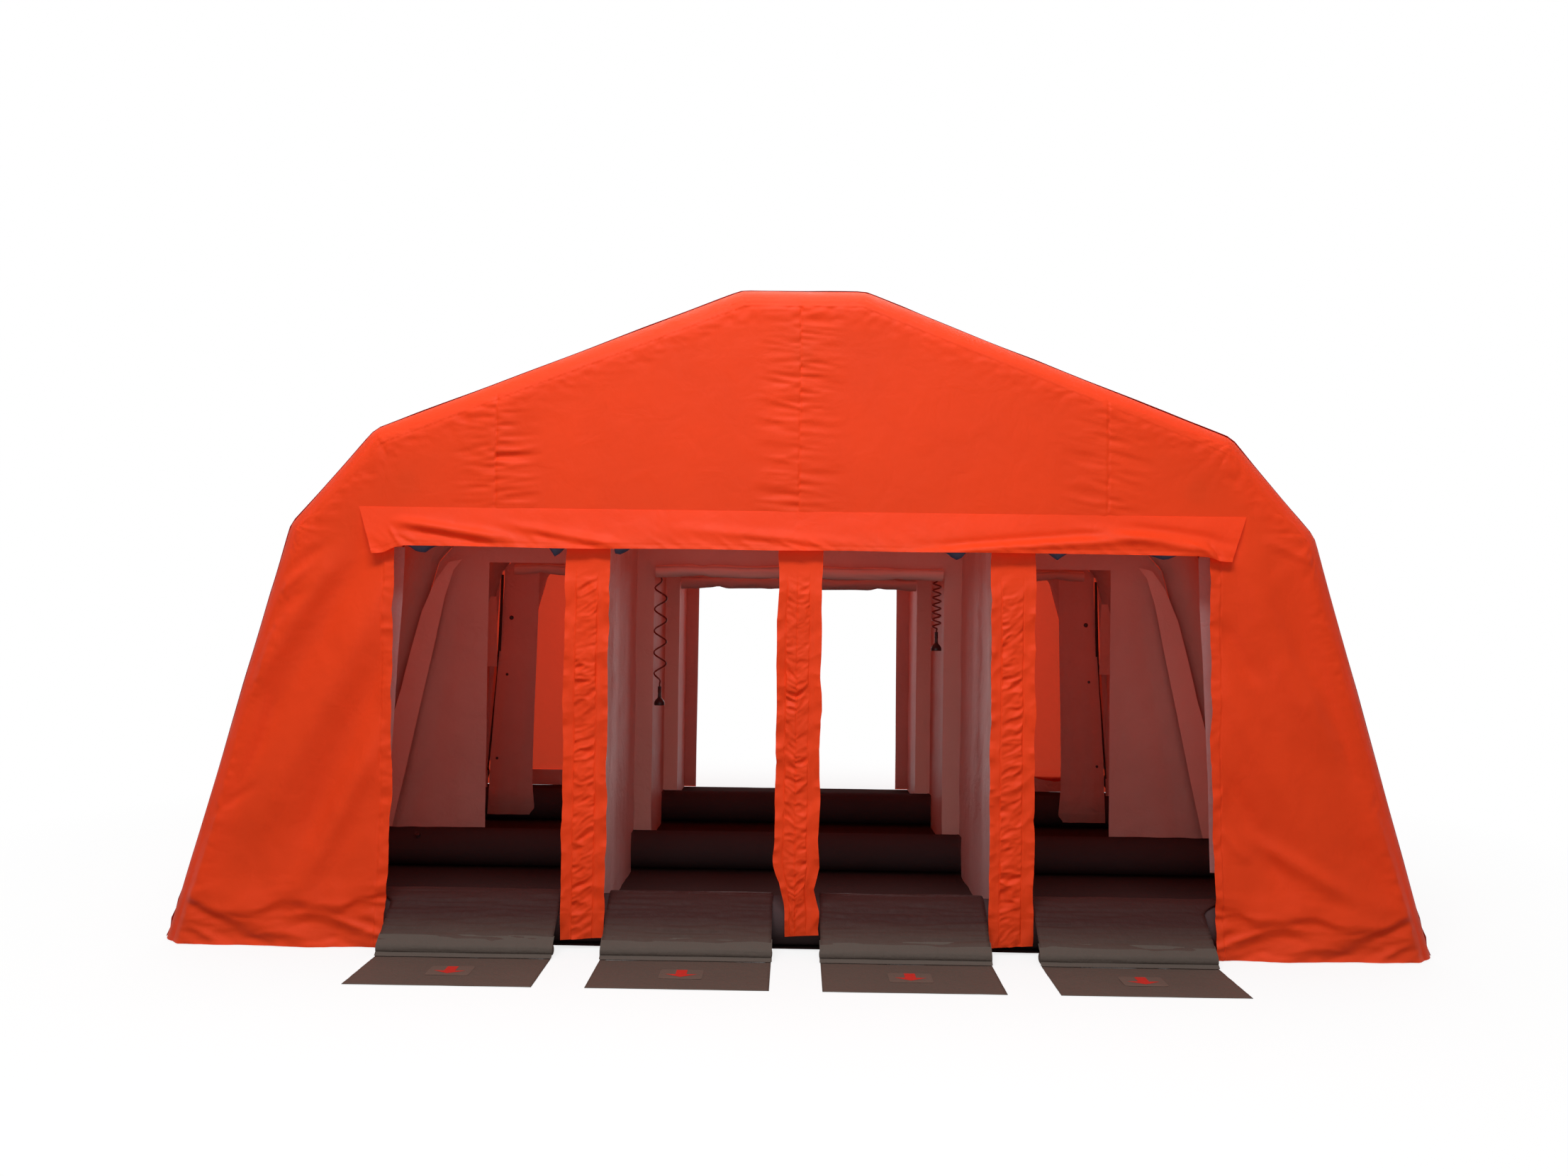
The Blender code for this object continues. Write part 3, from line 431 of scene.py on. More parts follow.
def add_piece(name, shape, finish, slot=None, body="root", stands_for=(), smooth=True, sharp=0):
    """Turn a bmesh into a piece of the tent that rides on a body. Edges over sharp degrees stay sharp."""
    mesh = bpy.data.meshes.new(name)
    shape.to_mesh(mesh)
    shape.free()
    if smooth:
        mesh.shade_smooth()
    if sharp:
        mesh.set_sharp_from_angle(angle=math.radians(sharp))
    mesh.materials.append(FINISHES[finish])
    piece = link_object(name, mesh)
    if body:
        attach(piece, body)
    if stands_for:
        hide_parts(*stands_for)
    return piece


def thicken(piece, thickness):
    wall = piece.modifiers.new("thickness", "SOLIDIFY")
    wall.thickness = thickness
    wall.offset = -1.0


def map_cloth(shape, spot):
    """Give every corner of the faces its place on the cloth's own map, in metres."""
    layer = shape.loops.layers.uv.new("cloth")
    for face in shape.faces:
        for loop in face.loops:
            loop[layer].uv = spot(loop.vert.co)


def face_towards(shape, facing):
    """Turn an open sheet's faces over if most of them look away from a direction."""
    shape.normal_update()
    balance = sum((face.normal * face.calc_area() for face in shape.faces), Vector())
    if balance.dot(Vector(facing)) < 0:
        bmesh.ops.reverse_faces(shape, faces=shape.faces)


def counted_grid(columns, rows, width, shift=0.5):
    """A flat grid of a width whose second direction counts its rows. Shift 0 centres it across."""
    shape = bmesh.new()
    bmesh.ops.create_grid(shape, x_segments=columns, y_segments=rows, size=0.5)
    bmesh.ops.translate(shape, vec=(shift, 0.5, 0), verts=shape.verts)
    bmesh.ops.scale(shape, vec=(width, rows, 1), verts=shape.verts)
    return shape


def pattern_grid(low, high, cell):
    """A flat cutting pattern as a grid in the XY plane, from corner low to corner high."""
    shape = bmesh.new()
    width, height = high[0] - low[0], high[1] - low[1]
    bmesh.ops.create_grid(shape, x_segments=max(1, round(width / cell[0])),
                          y_segments=max(1, round(height / cell[1])), size=0.5)
    bmesh.ops.scale(shape, vec=(width, height, 1), verts=shape.verts)
    bmesh.ops.translate(shape, vec=((low[0] + high[0]) / 2, (low[1] + high[1]) / 2, 0), verts=shape.verts)
    return shape


def cut_line(shape, point, normal, clear=False):
    """Cut a pattern along a line, and drop what lies on the normal's side if clear is set."""
    everything = shape.verts[:] + shape.edges[:] + shape.faces[:]
    bmesh.ops.bisect_plane(shape, geom=everything, dist=0.0002, plane_co=(*point, 0), plane_no=(*normal, 0),
                           clear_outer=clear)


def cut_along(shape, corners, clear=False):
    """Cut a pattern along each side of an outline."""
    for first, second in pairwise(corners):
        along = second - first
        cut_line(shape, first, (-along.y, along.x), clear)


def wall_pattern(inset, foot, cell, clearance=0.0):
    """The pattern of a wall across the tent, with its edge at an inset from the outline."""
    corners = inset_corners(inset, foot)
    shape = pattern_grid((corners[0].x, foot + clearance), (corners[-1].x, corners[3].y), cell)
    cut_along(shape, corners, clear=True)
    return shape


def cut_opening(shape, left, right, top, foot=-1.0):
    """Cut a rectangle out of a pattern, down through its lower edge if no foot is given."""
    cut_line(shape, (left, 0), (1, 0))
    cut_line(shape, (right, 0), (1, 0))
    cut_line(shape, (0, top), (0, 1))
    cut_line(shape, (0, foot), (0, 1))
    gone = []
    for face in shape.faces:
        place = face.calc_center_median()
        if left < place.x < right and foot < place.y < top:
            gone.append(face)
    bmesh.ops.delete(shape, geom=gone, context="FACES")


def cut_doorways(shape, side_edge, centre_top):
    """Cut the doorways of the three lanes out of the pattern of a wall."""
    cut_opening(shape, -side_edge, -LANE - HALF_STRIP, INNER_LINTEL)
    cut_opening(shape, -LANE + HALF_STRIP, LANE - HALF_STRIP, centre_top)
    cut_opening(shape, LANE + HALF_STRIP, side_edge, INNER_LINTEL)


def cut_seams(shape, places, step):
    """Fine cuts on both sides of upright seams, so that they can be drawn in."""
    for place in places:
        for offset in (-2 * step, -step, 0, step, 2 * step):
            cut_line(shape, (place + offset, 0), (1, 0))


def sew(name, shape, place, finish, facing, held=None, rests_on=(), unit=(1, 1), thickness=0.0,
        with_pieces=(), **rest):
    """Lay out a pattern in space. The cloth's map keeps the pattern's own metres.

    Unit is the length in metres of one step of the pattern. Held, how the finished sheet
    is held up if it counts as a sheet of its own, is not used.
    """
    map_cloth(shape, lambda spot: (spot.x * unit[0], spot.y * unit[1]))
    area = sum(face.calc_area() for face in shape.faces) * unit[0] * unit[1]
    spans = [[vert.co[axis] * unit[axis] for vert in shape.verts] for axis in (0, 1)]
    flat = [max(span) - min(span) for span in spans]
    for vert in shape.verts:
        vert.co = place(vert.co.x, vert.co.y)
    face_towards(shape, facing)
    piece = add_piece(name, shape, finish, **rest)
    if thickness:
        thicken(piece, thickness)


def ridge_sum(across, height, folds):
    """Height of long soft folds, each a ridge (start, end, width, depth)."""
    total = 0.0
    for (left, low), (right, high), width, depth in folds:
        run, rise = right - left, high - low
        length = math.hypot(run, rise)
        share = ((across - left) * run + (height - low) * rise) / length ** 2
        off = ((across - left) * rise - (height - low) * run) / length
        ends = fade(share, -0.25, 0.25) * (1 - fade(share, 0.75, 1.25))
        total += depth * math.exp(-(off / width) ** 2) * ends
    return total


# Folds of the two side panels of the entrance: start, end, half width and share of the fold depth
LEFT_PANEL_FOLDS = (
    ((-2.13, 1.78), (-2.72, 0.62), 0.085, 1.0), ((-2.13, 1.42), (-2.52, 0.50), 0.075, -0.9),
    ((-2.15, 1.02), (-2.50, 0.30), 0.060, 0.9), ((-2.22, 2.02), (-2.88, 0.80), 0.080, -0.9),
    ((-2.38, 1.96), (-2.78, 1.32), 0.060, 0.7), ((-2.86, 1.10), (-3.00, 0.34), 0.060, 0.6),
    ((-2.66, 1.86), (-2.44, 2.02), 0.028, -0.35), ((-2.72, 1.62), (-2.52, 1.80), 0.030, -0.35),
    ((-2.68, 1.76), (-2.50, 1.92), 0.020, 0.3), ((-2.87, 1.00), (-2.76, 1.12), 0.018, -0.25),
    ((-2.96, 0.66), (-2.76, 0.80), 0.024, -0.3),
)
RIGHT_PANEL_FOLDS = (
    ((2.24, 1.98), (2.66, 1.10), 0.085, 0.8), ((2.44, 1.80), (2.86, 0.78), 0.085, -0.9),
    ((2.16, 1.36), (2.64, 0.46), 0.080, 0.8), ((2.60, 1.30), (3.00, 0.42), 0.070, 0.8),
    ((2.16, 0.92), (2.46, 0.36), 0.055, -0.8), ((2.38, 2.10), (2.60, 2.00), 0.024, 0.3),
    ((2.30, 0.60), (2.78, 0.32), 0.045, 0.7), ((2.12, 0.66), (2.26, 0.50), 0.030, 0.4),
    ((2.14, 1.68), (2.30, 1.40), 0.040, -0.6),
)
PUCKER_REACH = 0.24


def seam_puckers(across, height):
    """Cross wrinkles on both sides of a gable's upright seams, and the seams' own grooves."""
    total = 0.0
    for index, place in enumerate(GABLE_SEAMS):
        off = across - place
        if abs(off) < PUCKER_REACH:
            tilt = (0.10 + 0.14 * (index - 1)) * off
            strength = (1 - abs(off) / PUCKER_REACH) ** 0.8
            strength *= 0.65 + 0.7 * ripple(off * 2, height * 2.2, index)
            side = 3.0 if off > 0 else 8.0
            total += strength * crease(off * 3.0 + side, (height + tilt) / 0.060, 5.0 * index + side)
            total -= 0.35 * notch(off, 0.0, 0.010)
    return total


def edge_band(height):
    """Width of the doubled cloth along the outline: wide on the roof, narrower on the legs."""
    return LEG_BAND + (ROOF_BAND - LEG_BAND) * fade(height, 2.0, 2.4)


def outline_seam(across, height, depth):
    """Two grooves along the lower edge of the doubled band, short puckers below them and the crown's seam."""
    band = edge_band(height)
    total = -1.0 * notch(depth, band, 0.006)
    total -= 0.5 * notch(depth, band - 0.016, 0.005)
    total += 0.6 * fade(band - depth, -0.004, 0.004)
    if abs(across) < CORNERS[0][0] + 0.01:
        total -= 1.4 * notch(height, CORNERS[0][1] - 0.085, 0.006)
    reach = 1 - fade(depth, band, band + 0.16)
    if depth > band:
        total += 0.9 * reach * crease(across / 0.07, height / 0.07, 17.0)
    return total


def front_stand(across, height, depth):
    """How far the entrance gable's cloth stands out of its plane."""
    cloth = bpy.context.scene.tent_cloth
    side = abs(across)
    above = fade(height, 2.20, 2.26)
    stand = above * cloth.pucker * seam_puckers(across, height)
    stand += 0.0040 * outline_seam(across, height, depth)
    stand += 0.003 * ripple(across * 0.9, height * 1.1, 2.0) * fade(height, 2.0, 2.4)
    stand += 0.0006 * crease(across * 3.0, height * 3.0, 19.0)
    if side < OPENING - 0.01:
        return stand
    # The loose side panels: long folds, then soft and sharp crumples
    below = 1 - fade(height, 2.00, 2.18)
    inner = fade(side, OPENING, OPENING + 0.10)
    folds = LEFT_PANEL_FOLDS if across < 0 else RIGHT_PANEL_FOLDS
    loose = ridge_sum(across, height, folds) * (0.35 + 0.65 * inner)
    stand += cloth.fold * loose * fade(height, 0.05, 0.3)
    stand += below * 0.005 * ripple(across * 4.0, height * 2.2, 4.0)
    stand += below * 0.0022 * crease(side * 4.0 + height * 2.2, (height - 1.6 * side) * 2.0, 7.0)
    # The slack above the tucked foot, the gathers under it and the foot's own stand
    tuck = tuck_line(side)
    slip = 0.5 + 0.5 * ripple(across * 2.6, 0.0, 23.0)
    above_tuck = fade(height, tuck - 0.006 - 0.03 * slip, tuck + 0.012 + 0.05 * slip)
    belly = above_tuck * (1 - fade(height, tuck + 0.02, tuck + 0.42))
    stand += 1.5 * cloth.gather * belly
    strip = 1 - above_tuck
    run = height / 0.15 - 0.9 * side + 0.5 * ripple(side * 2.0, 0, 1)
    gathers = 0.70 * crease(side * 1.6, run, 12.0) + 0.15 * crease(side * 7, height / 0.06, 15.0)
    stand += strip * cloth.gather * gathers
    slack = (1 - fade(height, tuck, tuck + 0.20)) * (0.4 + 0.6 * above_tuck)
    stand += 0.35 * slack * cloth.gather * crease(side * 3.5 + 2 * height, height / 0.16, 16.0)
    stand += 0.045 * (1 - fade(height, 0.0, 0.36)) * inner_share(side)
    # The turned hem beside the doorway, with its stitched groove
    hem = 1 - fade(side, OPENING + HEM - 0.004, OPENING + HEM + 0.010)
    tucks = crease(side * 9.0, height / 0.10, 21.0 if across > 0 else 20.0)
    stand += below * hem * 0.0045 * tucks
    stand -= below * 0.0030 * notch(side, OPENING + HEM, 0.008)
    return stand


# Places (side, height) of the line where a side panel folds over its tucked foot
TUCK = ((2.05, 0.27), (2.20, 0.235), (2.31, 0.17), (2.39, 0.175), (2.58, 0.20), (2.75, 0.15), (2.93, 0.155),
        (3.07, 0.21), (3.30, 0.25))


def tuck_line(side):
    """Height at which the slack cloth of a side panel folds over its tucked foot."""
    for (near, low), (far, high) in pairwise(TUCK):
        if side <= far:
            return low + (high - low) * fade(side, near, far)
    return TUCK[-1][1]


def inner_share(side):
    """1 over a side panel of the entrance, less towards the tube at its outer edge."""
    return 1 - 0.6 * fade(side, 2.7, 3.1)


def tube_front(depth):
    """How far the inflated tube under a gable stands out from the ring's plane at a depth."""
    off = min(abs(depth - WRAP_RADIUS) / TUBE_RADIUS, 1.0)
    return TUBE_RADIUS * math.sqrt(1 - off * off)


def wrapped(depth):
    """How far the gable's plane is from the ring's plane where cloth lies round the tube."""
    if depth >= WRAP_RADIUS:
        return WRAP_RADIUS
    lift = 1 - max(depth, 0.0) / WRAP_RADIUS
    return WRAP_RADIUS * math.sqrt(max(0.0, 1 - lift * lift))


def edge_scallop(across, height):
    """Small jogs of the side panels' loose edges."""
    side = 1 if across > 0 else -1
    near = 1 - fade(abs(across), OPENING, OPENING + 0.12)
    below = 1 - fade(height, 1.85, 1.98)
    wave = 0.012 * ripple(height / 0.30, 0.0, 31.0 + side) + 0.006 * crease(height / 0.33, 0.5, 37.0 + side)
    lean = 0.03 * (1 - height / LINTEL) if side > 0 else -0.005 * (1 - height / LINTEL)
    return side * near * below * (wave + lean)


def make_front_gable():
    shape = wall_pattern(SEAM_DEPTH - UNDERLAP, FLOOR_TOP, (0.017, 0.0095))
    cut_opening(shape, -OPENING, OPENING, LINTEL)
    cut_seams(shape, GABLE_SEAMS, 0.006)
    cut_seams(shape, (-OPENING - HEM, OPENING + HEM), 0.006)
    for inset in (-0.012, 0.001, 0.012, 0.022, 0.034):
        cut_along(shape, inset_corners(SEAM_DEPTH + inset, FLOOR_TOP))

    def place(across, height):
        depth = depth_below_outline(across, height)
        shift = edge_scallop(across, height)
        stand = front_stand(across, height, depth) * fade(depth, SEAM_DEPTH - 0.01, SEAM_DEPTH + 0.05)
        stand += 0.0025 * corner_crease(across, height)
        out = max(wrapped(depth) + stand, tube_front(depth) + 0.002)
        out -= 0.004 * (1 - fade(depth, SEAM_DEPTH - UNDERLAP, SEAM_DEPTH))
        return Vector((across + shift, RINGS[0] - out, height))

    sew("front_gable_cloth", shape, place, "cover", (0, -1, 0), held="stretched",
        rests_on=["arch_tube_1_skin"], stands_for=("front_gable",))


def corner_crease(across, height):
    """Radial creases of the front cloth where the tube under it turns a corner."""
    total = 0.0
    for corner in OUTLINE[1:-1]:
        away = Vector((across, height)) - corner
        reach = 1 - fade(away.length, 0.10, 0.38)
        if reach > 0:
            turn = math.atan2(away.y, away.x)
            total += reach * crease(turn * 4.2, away.length * 1.2, corner.x)
    return total


def cover_bulge(station, along, turned):
    """How far the cover stands off its smooth shape: crumples, tucks and the gathered foot."""
    cloth = bpy.context.scene.tent_cloth
    foot = min(station, GIRTH - station)
    stand = 0.006 * ripple(station * 0.9, along * 0.8, 1.0)
    stand += 0.0032 * crease(station * 1.1, along * 2.6, 6.0) * fade(foot, 0.2, 0.6)
    near = corner_nearness(station, 0.30)
    stand += 0.0050 * near * crease(station * 1.2, along * 7.0, 11.0)
    gathered = 1 - fade(foot, 0.10, 0.32)
    stand += gathered * cloth.gather * 0.8 * (crease(foot / 0.10, along * 1.6, 14.0) - 0.2)
    if turned > 0:
        stand *= 0.4
    # The side tube lies right behind the foot of the cover, so the cloth can't dip in there
    return max(stand, -0.03 * fade(foot, 0.28, 0.50))


def cover_route():
    """Steps (turn, place along Y, sag, end) of the cover, from its front seam to its rear seam.

    Turn is how far the cloth has turned down over a tube. End is -1 on the front
    arch, 1 on the rear arch and 0 where the cloth lies level between them.
    """
    cloth = bpy.context.scene.tent_cloth
    turns = 7
    per_bay = 34
    steps = [(SEAM_TURN * (1 - count / turns), RINGS[0], 0.0, -1) for count in range(turns)]
    for first, last in pairwise(RINGS):
        for count in range(per_bay):
            share = count / per_bay
            sag = cloth.sag * math.sin(math.pi * share) ** 1.6
            steps.append((0.0, first + share * (last - first), sag, 0))
    return steps + [(SEAM_TURN * count / turns, RINGS[3], 0.0, 1) for count in range(turns + 1)]


def cover_point(station, entry):
    """Where the cover lies at a distance along the outline and a step of its route."""
    turn, along, sag, end = entry
    stand = cover_bulge(station, along + end * turn * WRAP_RADIUS, turn)
    stand *= 1 - 0.75 * fade(abs(turn), 0.0, SEAM_TURN)
    radius = WRAP_RADIUS + stand
    sag *= fade(min(station, GIRTH - station), 0.28, 0.75)
    spot = rounded_outline(inset_cache(WRAP_RADIUS - radius * math.cos(turn) + sag), station)
    return Vector((spot.x, along + end * radius * math.sin(turn), spot.y))


def make_cover():
    route = cover_route()
    rows = len(route) - 1
    shape = counted_grid(round(GIRTH / 0.042), rows, GIRTH)

    def place(station, step):
        return cover_point(station, route[round(step)])

    length = RINGS[3] - RINGS[0] + 2 * SEAM_TURN * WRAP_RADIUS
    sew("cover_cloth", shape, place, "cover", (0, 0, 1), held="stretched",
        rests_on=["arch_tube_%d_skin" % count for count in (1, 2, 3, 4)], unit=(1, length / rows),
        stands_for=("roof_cover",))


TAPE_LIFT = 0.0024
TAPE_STEP = 0.05
ARCH_TAPE = 0.05
REAR_TAPE = 0.022
EAVE_TAPE = 0.04
EAVE_TAPE_DROP = 0.07


def ribbon(name, points, outs, width):
    """A welded tape along points. Outs gives the direction that its face looks at each point."""
    shape = bmesh.new()
    last = len(points) - 1
    bmesh.ops.create_grid(shape, x_segments=last, y_segments=2, size=0.5)
    for vert in shape.verts:
        index = round((vert.co.x + 0.5) * last)
        along = (points[min(index + 1, last)] - points[max(index - 1, 0)]).normalized()
        across = along.cross(outs[index]).normalized()
        crown = TAPE_LIFT * (1.0 if abs(vert.co.y) < 0.1 else 0.35)
        vert.co = points[index] + across * vert.co.y * width + outs[index] * crown
    map_cloth(shape, lambda spot: spot.xz)
    face_towards(shape, outs[len(outs) // 2])
    add_piece(name, shape, "seam")


def make_cover_tapes():
    """Tapes over the cover's seams: at its rear edge, over each arch and along the eaves."""
    count = round(GIRTH / TAPE_STEP)
    rows = [("cover_tape_rear", RINGS[3], SEAM_TURN * 0.93, REAR_TAPE)]
    rows += [("cover_tape_arch_%d" % (index + 1), ring, 0.0, ARCH_TAPE) for index, ring in enumerate(RINGS)]
    for name, ring, turn, width in rows:
        points, outs = [], []
        for station in [GIRTH * index / count for index in range(count + 1)]:
            stand = cover_bulge(station, ring + turn * WRAP_RADIUS, turn)
            radius = WRAP_RADIUS + stand * (0.3 if turn else 1)
            depth = WRAP_RADIUS - radius * math.cos(turn)
            spot = rounded_outline(inset_cache(depth), station)
            up = (spot - rounded_outline(inset_cache(depth + 0.05), station)).normalized()
            points.append(Vector((spot.x, ring + radius * math.sin(turn), spot.y)))
            outs.append(Vector((up.x * math.cos(turn), math.sin(turn), up.y * math.cos(turn))).normalized())
        ribbon(name, points, outs, width)
    level_route = [entry for entry in cover_route() if entry[3] == 0]
    for index in (1, 2, 5, 6):
        station = OUTER_STATIONS[index] + (EAVE_TAPE_DROP if index < 3 else -EAVE_TAPE_DROP)
        points = [cover_point(station, entry) for entry in level_route]
        up = rounded_outline(inset_cache(0.0), station) - rounded_outline(inset_cache(0.05), station)
        out = Vector((up.x, 0.0, up.y)).normalized()
        ribbon("cover_tape_eave_%d" % index, points, [out] * len(points), EAVE_TAPE)


VALANCE_TOP = 2.22
VALANCE_DROP = 0.22
VALANCE_HALF = 2.255
# Folds in metres across and above the flap's foot: start, end, half width and height
VALANCE_FOLDS = (
    ((-2.02, 0.135), (-1.50, 0.050), 0.028, 0.020), ((-1.98, 0.085), (-1.56, 0.010), 0.022, -0.014),
    ((-1.44, 0.120), (-0.90, 0.020), 0.026, 0.011), ((-1.36, 0.075), (-1.00, 0.000), 0.018, -0.008),
    ((-2.10, 0.100), (-2.02, 0.000), 0.012, 0.008), ((-2.05, 0.060), (-1.95, 0.000), 0.009, -0.006),
    ((-0.55, 0.110), (0.20, 0.045), 0.030, 0.009), ((-0.30, 0.060), (0.06, 0.020), 0.020, -0.008),
    ((-0.10, 0.045), (0.02, 0.000), 0.012, 0.009), ((0.05, 0.050), (0.16, 0.000), 0.012, 0.007),
    ((0.62, 0.000), (1.70, 0.085), 0.026, 0.018), ((0.66, 0.035), (1.60, 0.130), 0.024, -0.010),
    ((1.50, 0.130), (2.16, 0.010), 0.030, 0.018), ((1.66, 0.165), (2.22, 0.080), 0.026, -0.010),
    ((1.96, 0.070), (2.10, 0.000), 0.012, 0.008), ((2.06, 0.075), (2.17, 0.000), 0.011, -0.007),
)


def make_valance():
    """The weather flap over the entrance, gently waved, with slanted ends and a turned hem."""
    seam = FRONT_FACE - COAT - GAP - CLOTH
    shape = pattern_grid((-VALANCE_HALF, 0.0), (VALANCE_HALF, 1.0), (0.0105, 1 / 30))

    def place(across, share):
        hang = 1 - share
        side = 1 if across > 0 else -1
        ends = fade(abs(across), VALANCE_HALF - 0.25, VALANCE_HALF)
        slant = -side * 0.085 * ends * hang
        drop = VALANCE_DROP * (1 - 0.09 * (1 - ends)) + 0.006 * ripple(across * 1.3, 3.0, 1.0)
        drop += 0.02 * fade(-across, 1.98, 2.2) + 0.01 * fade(across, 1.98, 2.2)
        wave = 0.5 + 0.5 * ripple(across * 1.6 + 1.2 * hang, hang * 0.8, 22.0)
        stand = hang * (0.034 + 0.020 * wave)
        stand += ridge_sum(across, share * VALANCE_DROP, VALANCE_FOLDS) * min(1.0, 3 * hang)
        near_foot = 1 - fade(share, 0.05, 0.45)
        stand += (0.0015 + 0.003 * near_foot) * crease(across * 9.0 + 2 * share, share * 1.6, 24.0) * hang
        stand -= 0.002 * notch(share, 0.10, 0.025)
        height = VALANCE_TOP + 0.008 - drop * hang + 0.003 * ripple(across * 2.2, 1.0, 25.0) * hang
        return Vector((across + slant, seam - stand, height))

    sew("valance_cloth", shape, place, "cover", (0, -1, 0), body="valance", held="hung",
        unit=(1, VALANCE_DROP), stands_for=("valance",))


# Stitched lines of each door post, measured from its middle line
POST_STITCHES = {"left": (-0.061, 0.054), "centre": (-0.070, -0.013, 0.053), "right": (-0.061, 0.054)}


def post_edge(name, side, height):
    """How far a post's edge lies in from its straight line, at a height."""
    shift = 0.006 * ripple(height / 0.22, 2.0 * side, 41.0 + len(name))
    shift += 0.006 * max(0.0, crease(height / 0.30, 0.7 * side, 44.0 + len(name)))
    if name == "centre" and side < 0:
        shift += 0.056 * fade(-height, -0.47, -0.20) - 0.010 * notch(height, 0.49, 0.16)
    elif name == "centre":
        shift += 0.028 * notch(height, 0.32, 0.11)
    return shift


def post_relief(name, off, height, foot):
    """Puckers of a post: slanted tucks in its zip channels, crumples beside them and tabs at its edges."""
    stitches = POST_STITCHES[name]
    seed = 50.0 + 7 * len(name)
    inside = fade(off, stitches[0] - 0.002, stitches[0] + 0.010)
    inside *= 1 - fade(off, stitches[-1] - 0.010, stitches[-1] + 0.002)
    if len(stitches) == 3:
        slant = 0.45 * abs(off - stitches[1]) + 0.030 * ripple(off * 9, height * 5, seed + 11)
        tucks = crease(off * 9.0, (height - slant) / 0.058, seed)
    else:
        slant = 0.40 * off + 0.020 * ripple(off * 9, height * 5, seed + 11)
        tucks = crease(off * 8.0, (height - slant) / 0.060, seed)
    strong = 0.7 + 0.7 * ripple(off * 5, height * 4, seed + 3)
    stand = inside * 0.0100 * strong * tucks
    big = crease(off * 4.0 + height * 1.2, (height - 0.6 * off) / 0.21, seed + 5)
    stand += 0.0070 * big * (1 - 0.4 * inside)
    stand += 0.0060 * ripple(off * 4.0, height * 1.6, seed + 2)
    rim = fade(abs(off), 0.070, 0.108)
    stand += 0.0080 * rim * max(0.0, crease(2.0 * (1 if off > 0 else -1), height / 0.17, seed + 9))
    for line in stitches:
        stand -= 0.0030 * notch(off, line, 0.0045)
    return stand + 0.0016 * (1 - fade(height, foot + 0.132, foot + 0.138))


def make_door_posts():
    for name, centre, foot in (("left", -LANE, 0.055), ("centre", 0.0, 0.085), ("right", LANE, 0.045)):
        shape = pattern_grid((-HALF_STRIP, foot), (HALF_STRIP, LINTEL + 0.03), (0.0062, 0.0062))
        cut_seams(shape, POST_STITCHES[name], 0.003)

        def place(off, height, name=name, centre=centre, foot=foot):
            side = 1 if off > 0 else -1
            loose = 1 - fade(height, 1.80, 1.95)
            stand = 0.006 + post_relief(name, off, height, foot)
            stand += 0.006 * math.sin(math.pi * (height - foot) / (LINTEL - foot))
            across = centre + off - side * post_edge(name, side, height) * abs(off) / HALF_STRIP
            tilt = 0.06 * off * (1 - fade(height, foot, foot + 0.2))
            return Vector((across, FRONT_FACE - 0.004 - loose * stand, height + tilt))

        sew("door_post_%s_cloth" % name, shape, place, "cover", (0, -1, 0), held="hung",
            rests_on=["front_gable_cloth"], stands_for=("door_post_" + name,))


TUBE_SIDES = 40
TUBE_STEP = 0.03
TUBE_SEAM_TURN = 2.2
DOME_SHARES = (0.0, 0.06, 0.18, 0.38, 0.66)
SIDE_TUBE_BACK = 0.07


def tube_surface(name, spots, sides, cell, **rest):
    """A closed tube. Spots holds, for each step along it, a function of the turn that gives a point.

    Cell is the size of the cloth's map: the whole way round, and one step along.
    """
    shape = bmesh.new()
    rows = len(spots) - 1
    bmesh.ops.create_grid(shape, x_segments=sides, y_segments=rows, size=0.5)
    map_cloth(shape, lambda spot: ((spot.x + 0.5) * cell[0], (spot.y + 0.5) * rows * cell[1]))
    for vert in shape.verts:
        vert.co = spots[round((vert.co.y + 0.5) * rows)](2 * math.pi * (vert.co.x + 0.5))
    bmesh.ops.remove_doubles(shape, verts=shape.verts, dist=0.00002)
    open_edges = [edge for edge in shape.edges if edge.is_boundary]
    if open_edges:
        bmesh.ops.holes_fill(shape, edges=open_edges, sides=0)
    bmesh.ops.recalc_face_normals(shape, faces=shape.faces)
    return add_piece(name, shape, **rest)


def inflated(name, spots, sides, finish, stands_for):
    tube = tube_surface(name, spots, sides, (0.785, 0.05), finish=finish, stands_for=stands_for, sharp=50)


def straight_tube(name, start, end, radius, stands_for, sides=TUBE_SIDES, finish="tube"):
    """An inflated tube with rounded ends, a welded seam along it and a taped band near each end."""
    start, end = Vector(start), Vector(end)
    length = (end - start).length
    along = (end - start).normalized()
    level = Vector((0, 0, 1))
    flank = along.cross(level).normalized()
    dome = 0.30 * radius
    count = round((length - 2 * dome) / TUBE_STEP)
    stops = [dome * share for share in DOME_SHARES]
    stops += [dome + (length - 2 * dome) * index / count for index in range(count + 1)]
    stops += [length - dome * share for share in reversed(DOME_SHARES)]

    def spot_at(distance):
        near = min(distance, length - distance)
        rise = 1 - min(near / dome, 1.0)
        girth = radius * math.sqrt(max(0.0, 1 - rise * rise)) if near > 0 else 0.0
        band = 0.0018 * fade(near, 0.10, 0.105) * (1 - fade(near, 0.155, 0.16))

        def spot(turn):
            seam = 0.0016 * notch((turn - TUBE_SEAM_TURN + math.pi) % (2 * math.pi), math.pi, 0.13)
            pull = 0.0016 * crease(turn * 1.6, distance * 2.2, radius * 80) * (1 - fade(near, 0.15, 0.6))
            swell = 0.0012 * ripple(distance * 2.0, math.cos(turn), 3.0)
            reach = min(girth + (seam + band + pull + swell - 0.0028) * girth / radius, radius)
            return start + along * distance + (flank * math.cos(turn) + level * math.sin(turn)) * reach

        return spot

    inflated(name, [spot_at(stop) for stop in stops], sides, finish, stands_for)


